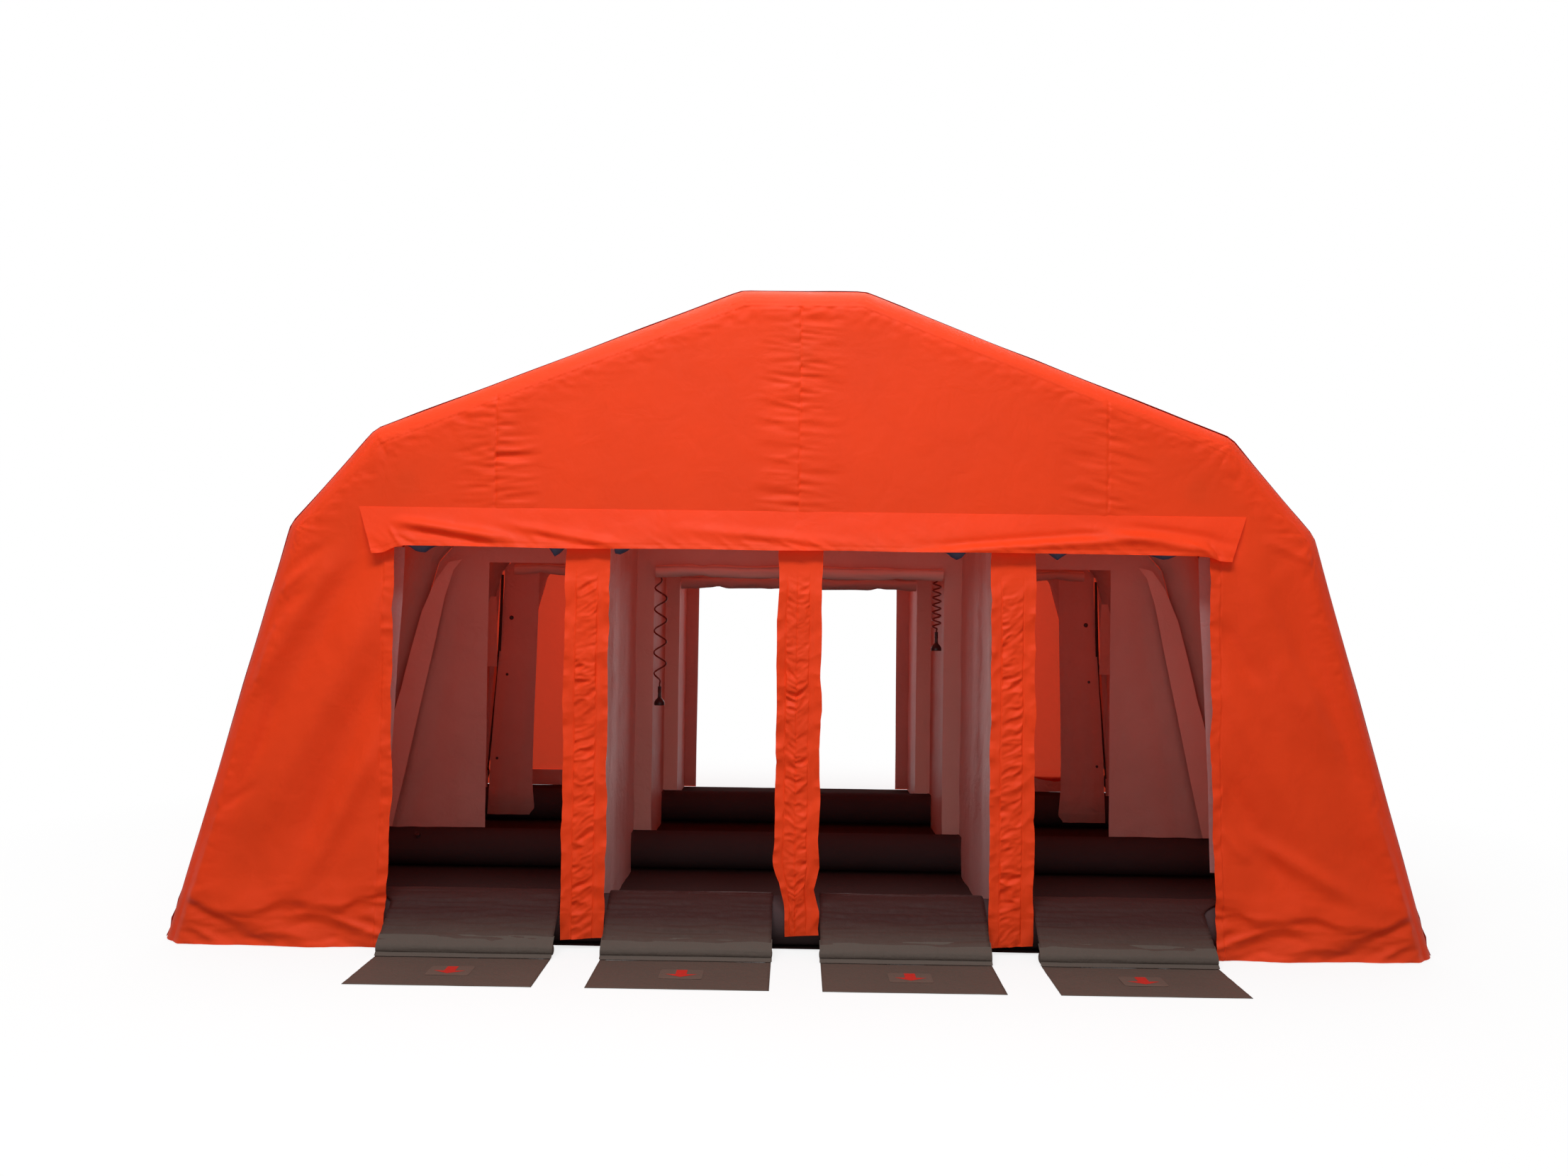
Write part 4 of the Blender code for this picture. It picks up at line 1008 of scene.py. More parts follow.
def arch_tube(index):
    """An inflated arch in its sleeve, with mitred corners, standing on the two side tubes."""
    count = round(GIRTH / 0.045)
    inset = COAT + GAP + TUBE_RADIUS
    turns = [2 * math.pi * step / TUBE_SIDES for step in range(TUBE_SIDES + 1)]
    rails = [inset_corners(inset - TUBE_RADIUS * math.cos(turn), TUBE_TOP + GAP) for turn in turns]

    def spot_at(station):
        near = corner_nearness(station, 0.16)
        heart = rounded_outline(rails[TUBE_SIDES // 4], station)

        def spot(turn):
            base = rounded_outline(rails[round(turn / (2 * math.pi) * TUBE_SIDES)], station)
            pull = -0.004 * near - 0.0025 + 0.003 * near * crease(turn * 2.5, station * 7.0, index)
            reach = TUBE_RADIUS * math.sin(turn)
            out = Vector((base.x - heart.x, reach, base.y - heart.y)).normalized()
            return Vector((base.x, RINGS[index] + reach, base.y)) + out * pull

        return spot

    name = "arch_tube_%d" % (index + 1)
    spots = [spot_at(GIRTH * step / count) for step in range(count + 1)]
    inflated(name + "_skin", spots, TUBE_SIDES, "inner", (name,))


def make_tubes():
    """The inflated frame."""
    for index in range(4):
        arch_tube(index)
    for name in ("sill_tube_front", "threshold_tube_1", "threshold_tube_2"):
        low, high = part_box(name)
        axis = (low + high) / 2
        straight_tube(name + "_skin", (low.x, axis.y, axis.z), (high.x, axis.y, axis.z), TUBE_RADIUS, (name,))
    for name in ("side_tube_left", "side_tube_right", "ridge_tube", "eave_tube_left", "eave_tube_right"):
        low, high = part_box(name)
        axis = (low + high) / 2
        back = SIDE_TUBE_BACK if name.startswith("side") else 0.0
        straight_tube(name + "_skin", (axis.x, low.y + back, axis.z), (axis.x, high.y - back, axis.z),
                      (high.z - low.z) / 2, (name,))


def make_floor():
    low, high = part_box("floor_sheet")
    shape = pattern_grid((low.x + 0.07, low.y + 0.05), (high.x - 0.07, high.y - 0.001), (0.05, 0.05))

    def place(across, along):
        relief = 0.0012 * crease(across * 1.4, along * 4.5, 60.0)
        relief += 0.0006 * ripple(across * 5, along * 5, 61.0)
        return Vector((across, along, high.z - 0.0022 + max(-0.0015, min(0.0018, relief))))

    sew("groundsheet", shape, place, "painted_shade", (0, 0, 1), held="laid", thickness=0.001,
        stands_for=("floor_sheet",))


MAT_INNER_REACH = 0.22
MAT_TOE_REACH = 0.06
MAT_APRON = 0.20
MAT_CLEARANCE = 0.006
RAMP_LENGTH = 0.44
HEM_ROLL_RADIUS = 0.030
HEM_ROLL_PLACE = FRONT_FACE - MAT_APRON + 0.050
# One step of a mat's top line, and how far the outer mats spread behind the sill
MAT_STEP = 0.008
MAT_SPREAD = 0.10
MAT_BAYS = [(left + MAT_CLEARANCE, right - MAT_CLEARANCE) for left, right in BAYS]


def arc(centre, radius, start, end, steps):
    turns = [start + (end - start) * step / steps for step in range(steps + 1)]
    return [centre + radius * Vector((math.cos(turn), math.sin(turn))) for turn in turns]


def mat_line():
    """Top line (y, z) of a mat in short steps: the floor inside, the sill, the hem roll and the ground."""
    wrap = (TUBE_RADIUS + GAP) / math.cos(math.pi / 20) + COAT
    over_roll = HEM_ROLL_RADIUS + 0.002
    centre = Vector((RINGS[0], TUBE_AXIS))
    roll = Vector((HEM_ROLL_PLACE, HEM_ROLL_RADIUS + COAT))
    inner = Vector((RINGS[0] + TUBE_RADIUS + MAT_INNER_REACH, FLOOR_TOP + GAP + COAT))
    heel = Vector((RINGS[0] + TUBE_RADIUS + MAT_TOE_REACH, inner.y))
    away = heel - centre
    start = math.atan2(away.y, away.x) + math.acos(wrap / away.length)
    away = roll - centre
    leave = math.atan2(away.y, away.x) % (2 * math.pi) - math.acos((wrap - over_roll) / away.length)
    corners = [inner, heel] + arc(centre, wrap, start, leave, 24)
    corners += arc(roll, over_roll, leave, math.radians(205), 10) + [Vector((FRONT_FACE - MAT_APRON, COAT))]
    line = [inner]
    for first, second in pairwise(corners):
        count = max(1, round((second - first).length / MAT_STEP))
        line += [first.lerp(second, step / count) for step in range(1, count + 1)]
    return line


def square_to(line, row):
    """Direction square to a line (y, z) at one of its points."""
    along = (line[min(row + 1, len(line) - 1)] - line[max(row - 1, 0)]).normalized()
    return Vector((along.y, -along.x))


def make_hem_cover(name, left, right, line):
    """The doubled strip of a mat over its hem roll."""
    rows = [spot for spot in line if spot.x < HEM_ROLL_PLACE + 0.030]
    half = (right - left) / 2 + 0.004
    shape = counted_grid(round(half / 0.012), len(rows) - 1, 2 * half, shift=0)

    def place(across, step):
        row = round(step)
        out = square_to(rows, row)
        if out.dot(rows[row] - Vector((HEM_ROLL_PLACE, HEM_ROLL_RADIUS))) <= 0:
            out = -out
        spot = rows[row] + out * (0.0032 + 0.0008 * crease(across * 3.0, row * 0.3, half * 90))
        return Vector(((left + right) / 2 + across, spot.x, max(spot.y, 0.002)))

    sew(name + "_hem", shape, place, "hem", (0, 0, 1), held="draped", rests_on=[name + "_cloth"],
        unit=(1, MAT_STEP))


def make_mats():
    """Mats draped over the front sill, with fine cross wrinkles."""
    line = mat_line()
    for index, (left, right) in enumerate(MAT_BAYS):
        shape = counted_grid(round((right - left) / 0.02), len(line) - 1, right - left)

        def place(across, step, left=left, index=index):
            row = round(step)
            spot = line[row]
            out = square_to(line, row)
            if out.y < 0:
                out = -out
            on_sill = fade(spot.y, 0.055, 0.10)
            wrinkle = crease((left + across) * 1.3, row * 0.20, 70.0 + index)
            fine = crease((left + across) * 2.6, row * 0.42, 75.0 + index)
            stand = 0.0068 * on_sill * (0.5 * wrinkle + 0.5 * fine) + 0.0008 * fine
            stand = max(-0.0012, stand + 0.002 * on_sill)
            spread = 0.0
            if index in (0, 3):
                share = across / (BAYS[0][1] - BAYS[0][0])
                outer = 1 - share if index == 0 else share
                spread = MAT_SPREAD * fade(outer, 0.5, 1.0)
                spread *= fade(spot.x, FRONT_FACE + 0.02, FRONT_FACE + 0.10) * (-1 if index == 0 else 1)
            return Vector((left + across + spread, spot.x + out.x * stand, spot.y + out.y * stand))

        name = "entry_mat_%d" % (index + 1)
        sew(name + "_cloth", shape, place, "floor", (0, 0, 1), held="draped",
            rests_on=["sill_tube_front_skin", "groundsheet"], unit=(1, MAT_STEP), thickness=0.0018,
            stands_for=(name,))
        height = HEM_ROLL_RADIUS + 0.003
        straight_tube(name + "_hem_roll", (left - 0.006, HEM_ROLL_PLACE, height),
                      (right + 0.006, HEM_ROLL_PLACE, height), HEM_ROLL_RADIUS - 0.0015, (), sides=20,
                      finish="hem")
        make_hem_cover(name, left, right, line)


PATCH_HALF = (0.103, 0.073)
PATCH_PLACE = 0.225
PATCH_TOP = 0.0068
ARROW = ((-0.026, 0.058), (-0.026, -0.010), (-0.074, -0.008), (0.0, -0.052), (0.074, -0.008), (0.026, -0.010),
         (0.026, 0.058))


def make_ramps():
    """Ground flaps in front of the mats, each with a patch and an arrow."""
    seam = FRONT_FACE - MAT_APRON - GAP
    for index, (left, right) in enumerate(MAT_BAYS):
        body = "ramp_%d" % (index + 1)
        shape = pattern_grid((left, seam - RAMP_LENGTH), (right, seam), (0.018, 0.011))
        cut_line(shape, (0, seam - RAMP_LENGTH + 0.022), (0, 1))

        def place(across, along, index=index, left=left, right=right):
            edge = min(across - left, right - across, along - seam + RAMP_LENGTH)
            relief = 0.0008 * crease(across * 1.5, along * 9.0, 80.0 + index)
            relief += 0.0004 * ripple(across * 9, along * 9, 84.0)
            hem = 0.0008 * (1 - fade(edge, 0.018, 0.024)) - 0.0008 * notch(edge, 0.022, 0.004)
            return Vector((across, along, 0.0030 + max(-0.0006, relief) + hem))

        on_top = [draw(body, (left + right) / 2, seam - RAMP_LENGTH + PATCH_PLACE)
                  for draw in (ramp_patch, ramp_arrow)]
        sew(body + "_cloth", shape, place, "floor", (0, 0, 1), held="laid", thickness=0.0022,
            with_pieces=on_top, body=body, stands_for=(body,))


def ramp_patch(body, across, along):
    """A welded patch with rounded corners."""
    shape = bmesh.new()
    bmesh.ops.create_grid(shape, x_segments=16, y_segments=14, size=1.0)
    for vert in shape.verts:
        x, y = vert.co.x, vert.co.y
        squeeze = 1 - 0.045 * (abs(x) ** 8) * (abs(y) ** 8)
        rim = 0.0 if max(abs(x), abs(y)) < 0.95 else -0.002
        vert.co = (across + PATCH_HALF[0] * x * squeeze, along + PATCH_HALF[1] * y * squeeze, PATCH_TOP + rim)
    map_cloth(shape, lambda spot: spot.xy)
    return add_piece(body + "_patch", shape, "patch", body=body)


def extruded(outline, step):
    """A prism over an outline of points, swept by a step."""
    shape = bmesh.new()
    face = shape.faces.new([shape.verts.new(point) for point in outline])
    swept = bmesh.ops.extrude_face_region(shape, geom=[face])
    moved = [part for part in swept["geom"] if isinstance(part, bmesh.types.BMVert)]
    bmesh.ops.translate(shape, vec=step, verts=moved)
    bmesh.ops.recalc_face_normals(shape, faces=shape.faces)
    return shape


def ramp_arrow(body, across, along):
    """A plain block arrow that points at the one who comes in."""
    shape = extruded([(across + x, along + y, PATCH_TOP + 0.0004) for x, y in ARROW], (0, 0, 0.0004))
    map_cloth(shape, lambda spot: spot.xy)
    return add_piece(body + "_arrow", shape, "arrow", body=body, smooth=False)


# How far the slit beside the rear bulkhead opens, at its top and more towards its foot
SLIT_TOP = 0.062
SLIT_LEAN = 0.10


def bulkhead_sheet(name, ring, side_edge, seed):
    """An inner wall with three doorways, hanging in soft folds below its header."""
    shape = wall_pattern(BULKHEAD_INSET + 0.004, TUBE_TOP, (0.03, 0.03), clearance=0.001)
    cut_doorways(shape, side_edge, CENTRE_LINTEL)

    def place(across, height):
        side = abs(across)
        loose = 1 - fade(height, 1.6, 2.1)
        stand = 0.006 * ripple(across * 1.4, height * 0.9, seed)
        stand += loose * 0.020 * ripple(across * 5.5 + 0.3 * height, height * 0.5, seed + 2)
        stand += 0.004 * crease(across * 2.0, height * 3.0, seed + 4) * loose
        if ring == 2 and side > side_edge - 0.01:
            lean = SLIT_TOP + SLIT_LEAN * (1 - height / 1.9) if height < 1.9 else SLIT_TOP
            across += (1 if across > 0 else -1) * lean * (1 - fade(side, side_edge, side_edge + 0.15))
        if side > side_edge:
            outer = ridge_sum(side, height, (((2.29, 1.98), (2.64, 0.25), 0.05, 0.05),
                                             ((2.42, 1.95), (2.74, 0.40), 0.06, -0.03)))
            stand += outer * loose
        if side < LANE + HALF_STRIP + 0.01 and side > LANE - HALF_STRIP - 0.01:
            foot = 1 - fade(height, 0.3, 0.6)
            across += 0.010 * ripple(height * 3.0, 0.0, seed) * loose * foot
        return Vector((across, RINGS[ring] - stand, height))

    sew(name + "_cloth", shape, place, "inner", (0, -1, 0), held="hung",
        rests_on=["arch_tube_%d_skin" % (ring + 1)], stands_for=(name,))


def hung_strip(name, left, right, plane, finish, seed, carrier, side):
    """A strip of cloth in a plane between two lines, each a list of (x, z) from its top to its foot."""
    shape = bmesh.new()
    bmesh.ops.create_grid(shape, x_segments=8, y_segments=48, size=0.5)
    bmesh.ops.translate(shape, vec=(0.5, 0.5, 0), verts=shape.verts)
    width = sum(abs(first[0] - second[0]) for first, second in zip(left, right)) / len(left)
    drop = max(point[1] for point in left) - min(point[1] for point in left)

    def along(points, share):
        at = share * (len(points) - 1)
        index = min(int(at), len(points) - 2)
        return Vector(points[index]).lerp(Vector(points[index + 1]), at - index)

    def place(across, share):
        spot = along(left, share).lerp(along(right, share), across)
        stand = 0.004 * ripple(spot.x * 5, spot.y * 2.0, seed)
        stand += 0.002 * crease(spot.x * 4, spot.y * 5, seed + 3)
        return Vector((side * spot.x, plane - 0.006 - stand, spot.y))

    sew(name, shape, place, finish, (0, -1, 0), held="hung", rests_on=[carrier],
        unit=(max(width, 0.02), drop))


# Edges of the strips on the left side, as (x, z) from top to foot
BAND_LEFT = ((-2.318, 2.015), (-2.404, 1.894), (-2.489, 1.69), (-2.563, 1.409), (-2.628, 1.138),
             (-2.725, 0.79), (-2.825, 0.27))
BAND_RIGHT = ((-2.227, 2.035), (-2.284, 1.963), (-2.339, 1.788), (-2.41, 1.43), (-2.481, 1.101),
              (-2.57, 0.676), (-2.66, 0.27))
LINER_EDGE = ((-2.064, 2.03), (-2.071, 1.81), (-2.074, 1.742), (-2.091, 1.47), (-2.105, 1.184),
              (-2.118, 0.905), (-2.135, 0.40))
LINER_BACK = [(-2.24, height) for across, height in LINER_EDGE]
SLAT_LEFT = ((-2.545, 1.806), (-2.545, 1.60), (-2.54, 1.40), (-2.54, 1.24))
SLAT_RIGHT = ((-2.445, 1.806), (-2.435, 1.60), (-2.435, 1.40), (-2.432, 1.24))
REAR_HEM_EDGE = ((-0.957, 1.95), (-0.960, 1.00), (-0.966, 0.012))
REAR_HEM_BACK = [(-1.10, height) for across, height in REAR_HEM_EDGE]
MUD_FLAP_HEIGHT = 0.15
MUD_FLAP_LEFT = ((-2.95, MUD_FLAP_HEIGHT), (-2.95, FLOOR_TOP))
MUD_FLAP_RIGHT = [(-LANE - HALF_STRIP, height) for across, height in MUD_FLAP_LEFT]
# Middle line (x, z) and half width of the dark zip tape beside the rear bulkhead, laid over the slit as
# painted shade of the gap there
SLIT_ZIP_SHADE = ((-2.404, 1.985, 0.010), (-2.406, 1.908, 0.012), (-2.409, 1.737, 0.012), (-2.416, 1.512, 0.012),
            (-2.427, 1.159, 0.014), (-2.457, 0.864, 0.011), (-2.480, 0.620, 0.008), (-2.497, 0.399, 0.006))
ZIP_SHADE_LEFT = [(across - half, height) for across, height, half in SLIT_ZIP_SHADE]
ZIP_SHADE_RIGHT = [(across + half, height) for across, height, half in SLIT_ZIP_SHADE]
# Name, two edges, plane, finish, seed and what the strip hangs from
STRIPS = (
    ("bulkhead_band", BAND_LEFT, BAND_RIGHT, RINGS[1] - 0.085, "band", 170.0, "bulkhead_front_cloth"),
    ("bulkhead_slat", SLAT_LEFT, SLAT_RIGHT, RINGS[2] - 0.06, "band", 172.0, "bulkhead_rear_cloth"),
    # A dark strip over the slit: painted shade of the gap behind the leaf, drawn as a zip tape
    ("bulkhead_zip", ZIP_SHADE_LEFT, ZIP_SHADE_RIGHT, RINGS[2] - 0.036, "tube", 173.0, "bulkhead_rear_cloth"),
    ("rear_doorway_hem", REAR_HEM_BACK, REAR_HEM_EDGE, REAR_FACE - 0.004, "lined", 176.0, "rear_gable_cloth"),
    ("rear_mud_flap", MUD_FLAP_LEFT, MUD_FLAP_RIGHT, REAR_FACE - 0.004, "lined", 177.0, "rear_gable_cloth"),
    ("entrance_liner", LINER_BACK, LINER_EDGE, RINGS[0] + 0.03, "sheet", 174.0, "arch_tube_1_skin"),
)


def make_bulkheads():
    """The inner walls and the strips that hang on them, in the entrance and beside the rear doorway."""
    bulkhead_sheet("bulkhead_front", 1, OPENING, 90.0)
    bulkhead_sheet("bulkhead_rear", 2, LEAF_OUTER, 95.0)
    for side, hand in ((1, "left"), (-1, "right")):
        for name, *strip in STRIPS:
            hung_strip("%s_%s" % (name, hand), *strip, side)


# Toggles of a loose leaf: place across, height and share of the full size
TOGGLES = ((2.300, 1.637, 1.1), (2.328, 1.183, 0.7), (2.398, 0.511, 0.7))
TOGGLE_PROFILE = ((0.0, -0.010), (0.010, -0.008), (0.016, 0.0), (0.010, 0.008), (0.0, 0.010))
TOGGLE_STAND = 0.026
LEAF_FOOT = 0.06
LEAF_HEM = 0.135


def make_leaves():
    """Loose leaves beside the rear bulkhead, each on its own hinge line under the header."""
    plane = RINGS[2]
    front = plane - TUBE_RADIUS - COAT
    for side, name in ((-1, "left"), (1, "right")):
        inner = OPENING + 0.045
        edges = sorted((side * inner, side * (LEAF_OUTER - GAP)))
        shape = pattern_grid((edges[0], LEAF_FOOT), (edges[1], INNER_LINTEL - GAP), (0.012, 0.016))
        cut_line(shape, (0, LEAF_HEM), (0, 1))
        cut_line(shape, (0, LEAF_HEM + 0.006), (0, 1))

        def place(across, height, side=side):
            share = (abs(across) - OPENING) / 0.23
            hang = fade(-height, -INNER_LINTEL, -TUBE_TOP - 0.12)
            wave = 0.5 + 0.5 * math.cos(4 * math.pi * share)
            stand = 0.010 * hang * wave + 0.006 * hang * ripple(across * 6, height * 1.6, 100.0 + side)
            stand += 0.003 * crease(across * 7, height * 5, 102.0 + side) * hang
            stand += 0.002 * (1 - fade(height, LEAF_HEM, LEAF_HEM + 0.006))
            outer = fade(abs(across), inner, LEAF_OUTER)
            lean = outer * (0.028 + 0.078 * (1 - min(height, 1.9) / 1.9))
            flare = -0.02 * (1 - outer) * (1 - fade(height, LEAF_FOOT, 0.35))
            corner = 0.04 * (1 - fade(height, LEAF_FOOT, 2 * LEAF_FOOT)) * (1 - fade(outer, 0.0, 0.3))
            across += side * (lean + flare + corner)
            return Vector((across, plane + (front - plane) * hang - stand, height))

        sew("leaf_%s_cloth" % name, shape, place, "inner", (0, -1, 0), held="hung",
            rests_on=["bulkhead_rear_cloth"], body="leaf_" + name, stands_for=("bulkhead_leaf_" + name,))
        for index, (place_x, height, size) in enumerate(TOGGLES):
            knob = [(radius * size, rise) for radius, rise in TOGGLE_PROFILE]
            turned_piece("leaf_toggle_%s_%d" % (name, index + 1), knob,
                         (side * place_x, front - TOGGLE_STAND, height), 16, "plastic", body="leaf_" + name,
                         axis=(0, -1, 0))


def make_partitions():
    """Milky film between the lanes, slack between the rings."""
    for section in range(3):
        for side, name in ((-1, "left"), (1, "right")):
            node = "partition_%s_%d" % (name, section + 1)
            low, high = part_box(node)
            first, last = RINGS[section], RINGS[section + 1]
            start, end = first + TUBE_RADIUS + 0.004, last - TUBE_RADIUS - 0.004
            begin, stop = low.y + 0.002, high.y - 0.002
            shape = pattern_grid((begin, FLOOR_TOP + 0.001), (stop, high.z - 0.055), (0.03, 0.035))
            under = high.z - 2 * TUBE_RADIUS - 0.02
            for left, right in ((begin - 1, start), (end, stop + 1)):
                # No tube crosses the floor at the way out, so the film reaches down to it there
                if section < 2 or left < start:
                    cut_opening(shape, left, right, TUBE_TOP + 0.002)
                cut_opening(shape, left, right, top=9.0, foot=under)

            def place(along, height, side=side, section=section):
                slack = math.sin(math.pi * max(0.0, min(1.0, (along - first) / (last - first))))
                wave = ripple(along * 3.2, height * 0.35, 110.0 + section + side)
                stand = 0.022 * slack * wave + 0.006 * slack * ripple(along * 8, height * 2, 112.0)
                stand += 0.003 * crease(along * 2.5, height * 3.0, 114.0 + section)
                return Vector((side * LANE + stand, along, height))

            sew(node + "_film", shape, place, "sheet", (-side, 0, 0), held="hung", stands_for=(node,))


def make_rear_wall():
    shape = wall_pattern(SEAM_DEPTH, FLOOR_TOP, (0.03, 0.022))
    cut_doorways(shape, OPENING, INNER_LINTEL)
    cut_seams(shape, GABLE_SEAMS, 0.006)
    cloth = bpy.context.scene.tent_cloth

    def place(across, height):
        depth = depth_below_outline(across, height)
        above = fade(height, 2.16, 2.24)
        stand = above * cloth.pucker * seam_puckers(across, height)
        stand += 0.004 * ripple(across * 1.2, height, 120.0)
        foot = 1 - fade(height, 0.12, 0.32)
        outer = fade(abs(across), OPENING, OPENING + 0.1)
        stand += foot * cloth.gather * 0.8 * crease(across * 1.8, height / 0.11, 122.0) * outer
        stand += cloth.fold * 0.6 * outer * (1 - above) * ripple(across * 2.6 + height, height * 1.4, 124.0)
        stand *= fade(depth, SEAM_DEPTH, SEAM_DEPTH + 0.08)
        return Vector((across, RINGS[3] + wrapped(depth) + stand, height))

    sew("rear_gable_cloth", shape, place, "cover", (0, 1, 0), held="stretched",
        rests_on=["arch_tube_4_skin"], stands_for=("rear_gable",))
    for side, name in ((-1, "left"), (1, "right")):
        rear_door(side, name)


def rear_door(side, name):
    """A closed flap over a side doorway of the rear wall, with a zip down each side."""
    low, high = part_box("rear_door_" + name)
    shape = pattern_grid((low.x, FLOOR_TOP + 0.004), (high.x, high.z), (0.018, 0.02))
    zips = (low.x + 0.045, high.x - 0.045)
    cut_seams(shape, zips, 0.003)

    def place(across, height):
        edge = min(across - low.x, high.x - across)
        stand = 0.010 * ripple(across * 2.2, height * 0.8, 130.0 + side) * fade(edge, 0.0, 0.15)
        stand += 0.0030 * crease(across * 4, height * 5, 132.0 + side)
        off = min(abs(across - line) for line in zips)
        stand += 0.003 * (1 - fade(off, 0.0, 0.09)) * crease(across * 5, height / 0.08, 134.0 + side)
        if off < 0.004:
            stand -= 0.002
        return Vector((across, high.y + 0.006 + stand, height))

    sew("rear_door_%s_cloth" % name, shape, place, "cover", (0, 1, 0), held="hung", body="rear_flap_" + name,
        stands_for=("rear_door_" + name,))


ROLL_LAYERS = 6
ROLL_SIDES = 20


def rolled_cloth(name, room, stands_for, finish, length, sag, lumps, ties, seed, rise, lobes=()):
    """A curtain rolled up on itself and tied, drawn as one long sheet wound in a spiral.

    Room is the box that the roll fills, ties are shares of its length, and each
    lobe is a place where slack cloth hangs down: place across, spread and drop.
    """
    low, high = room
    left, right = low.x + 0.004, high.x - 0.004
    axis = (low + high) / 2
    radius = min(high.y - low.y, high.z - low.z) / 2
    rows = ROLL_LAYERS * ROLL_SIDES
    shape = counted_grid(round((right - left) / 0.026), rows, 1)

    def place(share, step):
        turn = 2 * math.pi * step / ROLL_SIDES + 2.4
        out = radius * (0.25 + 0.72 * step / rows)
        tied = max(math.exp(-((share - tie) / 0.020) ** 2) for tie in ties)
        swag = min(abs(share - tie) for tie in ties)
        width = 1.0 - 0.20 * tied + lumps * ripple(share * 7, math.cos(turn) * 0.8, seed)
        width += 0.10 * crease(share * 5, math.sin(turn) * 0.9 + turn * 0.05, seed + 2) * (1 - tied)
        across = left + share * (right - left)
        height = axis.z + rise - sag * fade(swag, 0.0, 0.16) + 0.006 * ripple(share * 3.0, 0.0, seed + 5)
        for lobe, spread, drop in lobes:
            height -= drop * max(0.0, -math.sin(turn)) * math.exp(-((across - lobe) / spread) ** 2)
        if abs(share - 0.5) > 0.49:
            across += (1 if share > 0.5 else -1) * 0.004 * ripple(turn * 0.8, share, seed + 7)
        return Vector((across, axis.y + out * width * math.cos(turn), height + out * width * math.sin(turn)))

    sew(name, shape, place, finish, (0, 0, 1), held="folded", unit=(right - left, length / rows),
        slot="inner_fabric", stands_for=stands_for)


# Lengths that the curtains were cut to, and the ties that hold their rolls, as shares of a roll's length
DOOR_CUT = 1.15
CURTAIN_CUT = 1.1
DOOR_TIES = (0.12, 0.5, 0.88)
CENTRE_TIES = (0.16, 0.5, 0.84)
SIDE_TIES = (0.2, 0.8)
# Name, node, finish, cut length, sag, lumps, seed and rise of the rolls over the centre lane
CENTRE_ROLLS = (
    ("curtain_front_cloth", "curtain_roll_front", "band", CURTAIN_CUT, 0.006, 0.12, 150.0, 0.020),
    ("curtain_rear_cloth", "curtain_roll_rear", "band", 1.4, 0.008, 0.14, 155.0, -0.006),
    ("rear_door_rolled", "rear_door_roll", "cover", DOOR_CUT, 0.010, 0.06, 160.0, -0.03),
)
# Slack lobes under the four rolled doors of the entrance
DOOR_LOBES = (((-1.95, 0.050, 0.050), (-1.255, 0.030, 0.055)), ((-0.93, 0.050, 0.036),),
              ((0.80, 0.045, 0.045),), ((1.31, 0.030, 0.050), (1.86, 0.060, 0.030)))


def make_rolls():
    """Rolled-up doors behind the valance, curtains of the three lanes and the rear door."""
    for index, lobes in enumerate(DOOR_LOBES):
        node = "door_roll_%d" % (index + 1)
        rolled_cloth(node + "_cloth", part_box(node), (node,), "lining", DOOR_CUT, 0.004, 0.05, DOOR_TIES,
                     140.0 + index, 0.034, lobes)
    front, *rear = CENTRE_ROLLS
    centre_roll(*front)
    for side, name in ((-1, "left"), (1, "right")):
        near, far = sorted((side * (LANE + HALF_STRIP), side * (LEAF_OUTER - 0.09)))
        room = (Vector((near, RINGS[2] - 0.200, 1.990)), Vector((far, RINGS[2] - 0.120, 2.075)))
        rolled_cloth("side_curtain_%s_cloth" % name, room, (), "band", CURTAIN_CUT, 0.010, 0.12, SIDE_TIES,
                     152.0 + side, 0.0)
    for roll in rear:
        centre_roll(*roll)


def centre_roll(name, node, finish, length, sag, lumps, seed, rise):
    """A roll over the centre lane, in the room of its node."""
    rolled_cloth(name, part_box(node), (node,), finish, length, sag, lumps, CENTRE_TIES, seed, rise)


PIPE_HEIGHT = 2.03
PIPE_RADIUS = 0.0125
PIPE_CLIPS = (0.06, 0.5, 0.94)
TRIGGER_WIDTH = 0.0104
TRIGGER_RADIUS = 0.004
TRIGGER_SLANT = math.radians(26)
VALVE_TILT = math.radians(45)
HOSE_RADIUS = 0.006
HOSE_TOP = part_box("coil_hose_left")[1].z
HOSE_STATION = middle("hand_shower_left", 1)
# Place across, radius, length and turns of each curly hose
COILS = {"left": (-1.0, 0.044, 0.81, 5), "right": (1.0, 0.029, 0.39, 7)}
NECK_RADIUS = 0.013
ROSE_RADIUS = 0.038


def hose_line(side):
    """Middle line of a curly hose, the same as in the part but with more points to a turn."""
    across, radius, length, turns = COILS[side]
    straight = 2 * HOSE_RADIUS
    count = turns * 24
    drops = [0.0, straight]
    spins = [(0.0, 0.0)] * 2
    for index in range(1, count):
        turned = index / count * turns
        spread = radius * fade(min(turned, turns - turned), 0.0, 0.6)
        spins.append((spread * math.cos(2 * math.pi * turned), spread * math.sin(2 * math.pi * turned)))
        drops.append(straight + index / count * (length - 2 * straight))
    drops += [length - straight, length]
    spins += [(0.0, 0.0)] * 2
    return [Vector((across + x, HOSE_STATION + y, HOSE_TOP - drop)) for (x, y), drop in zip(spins, drops)]


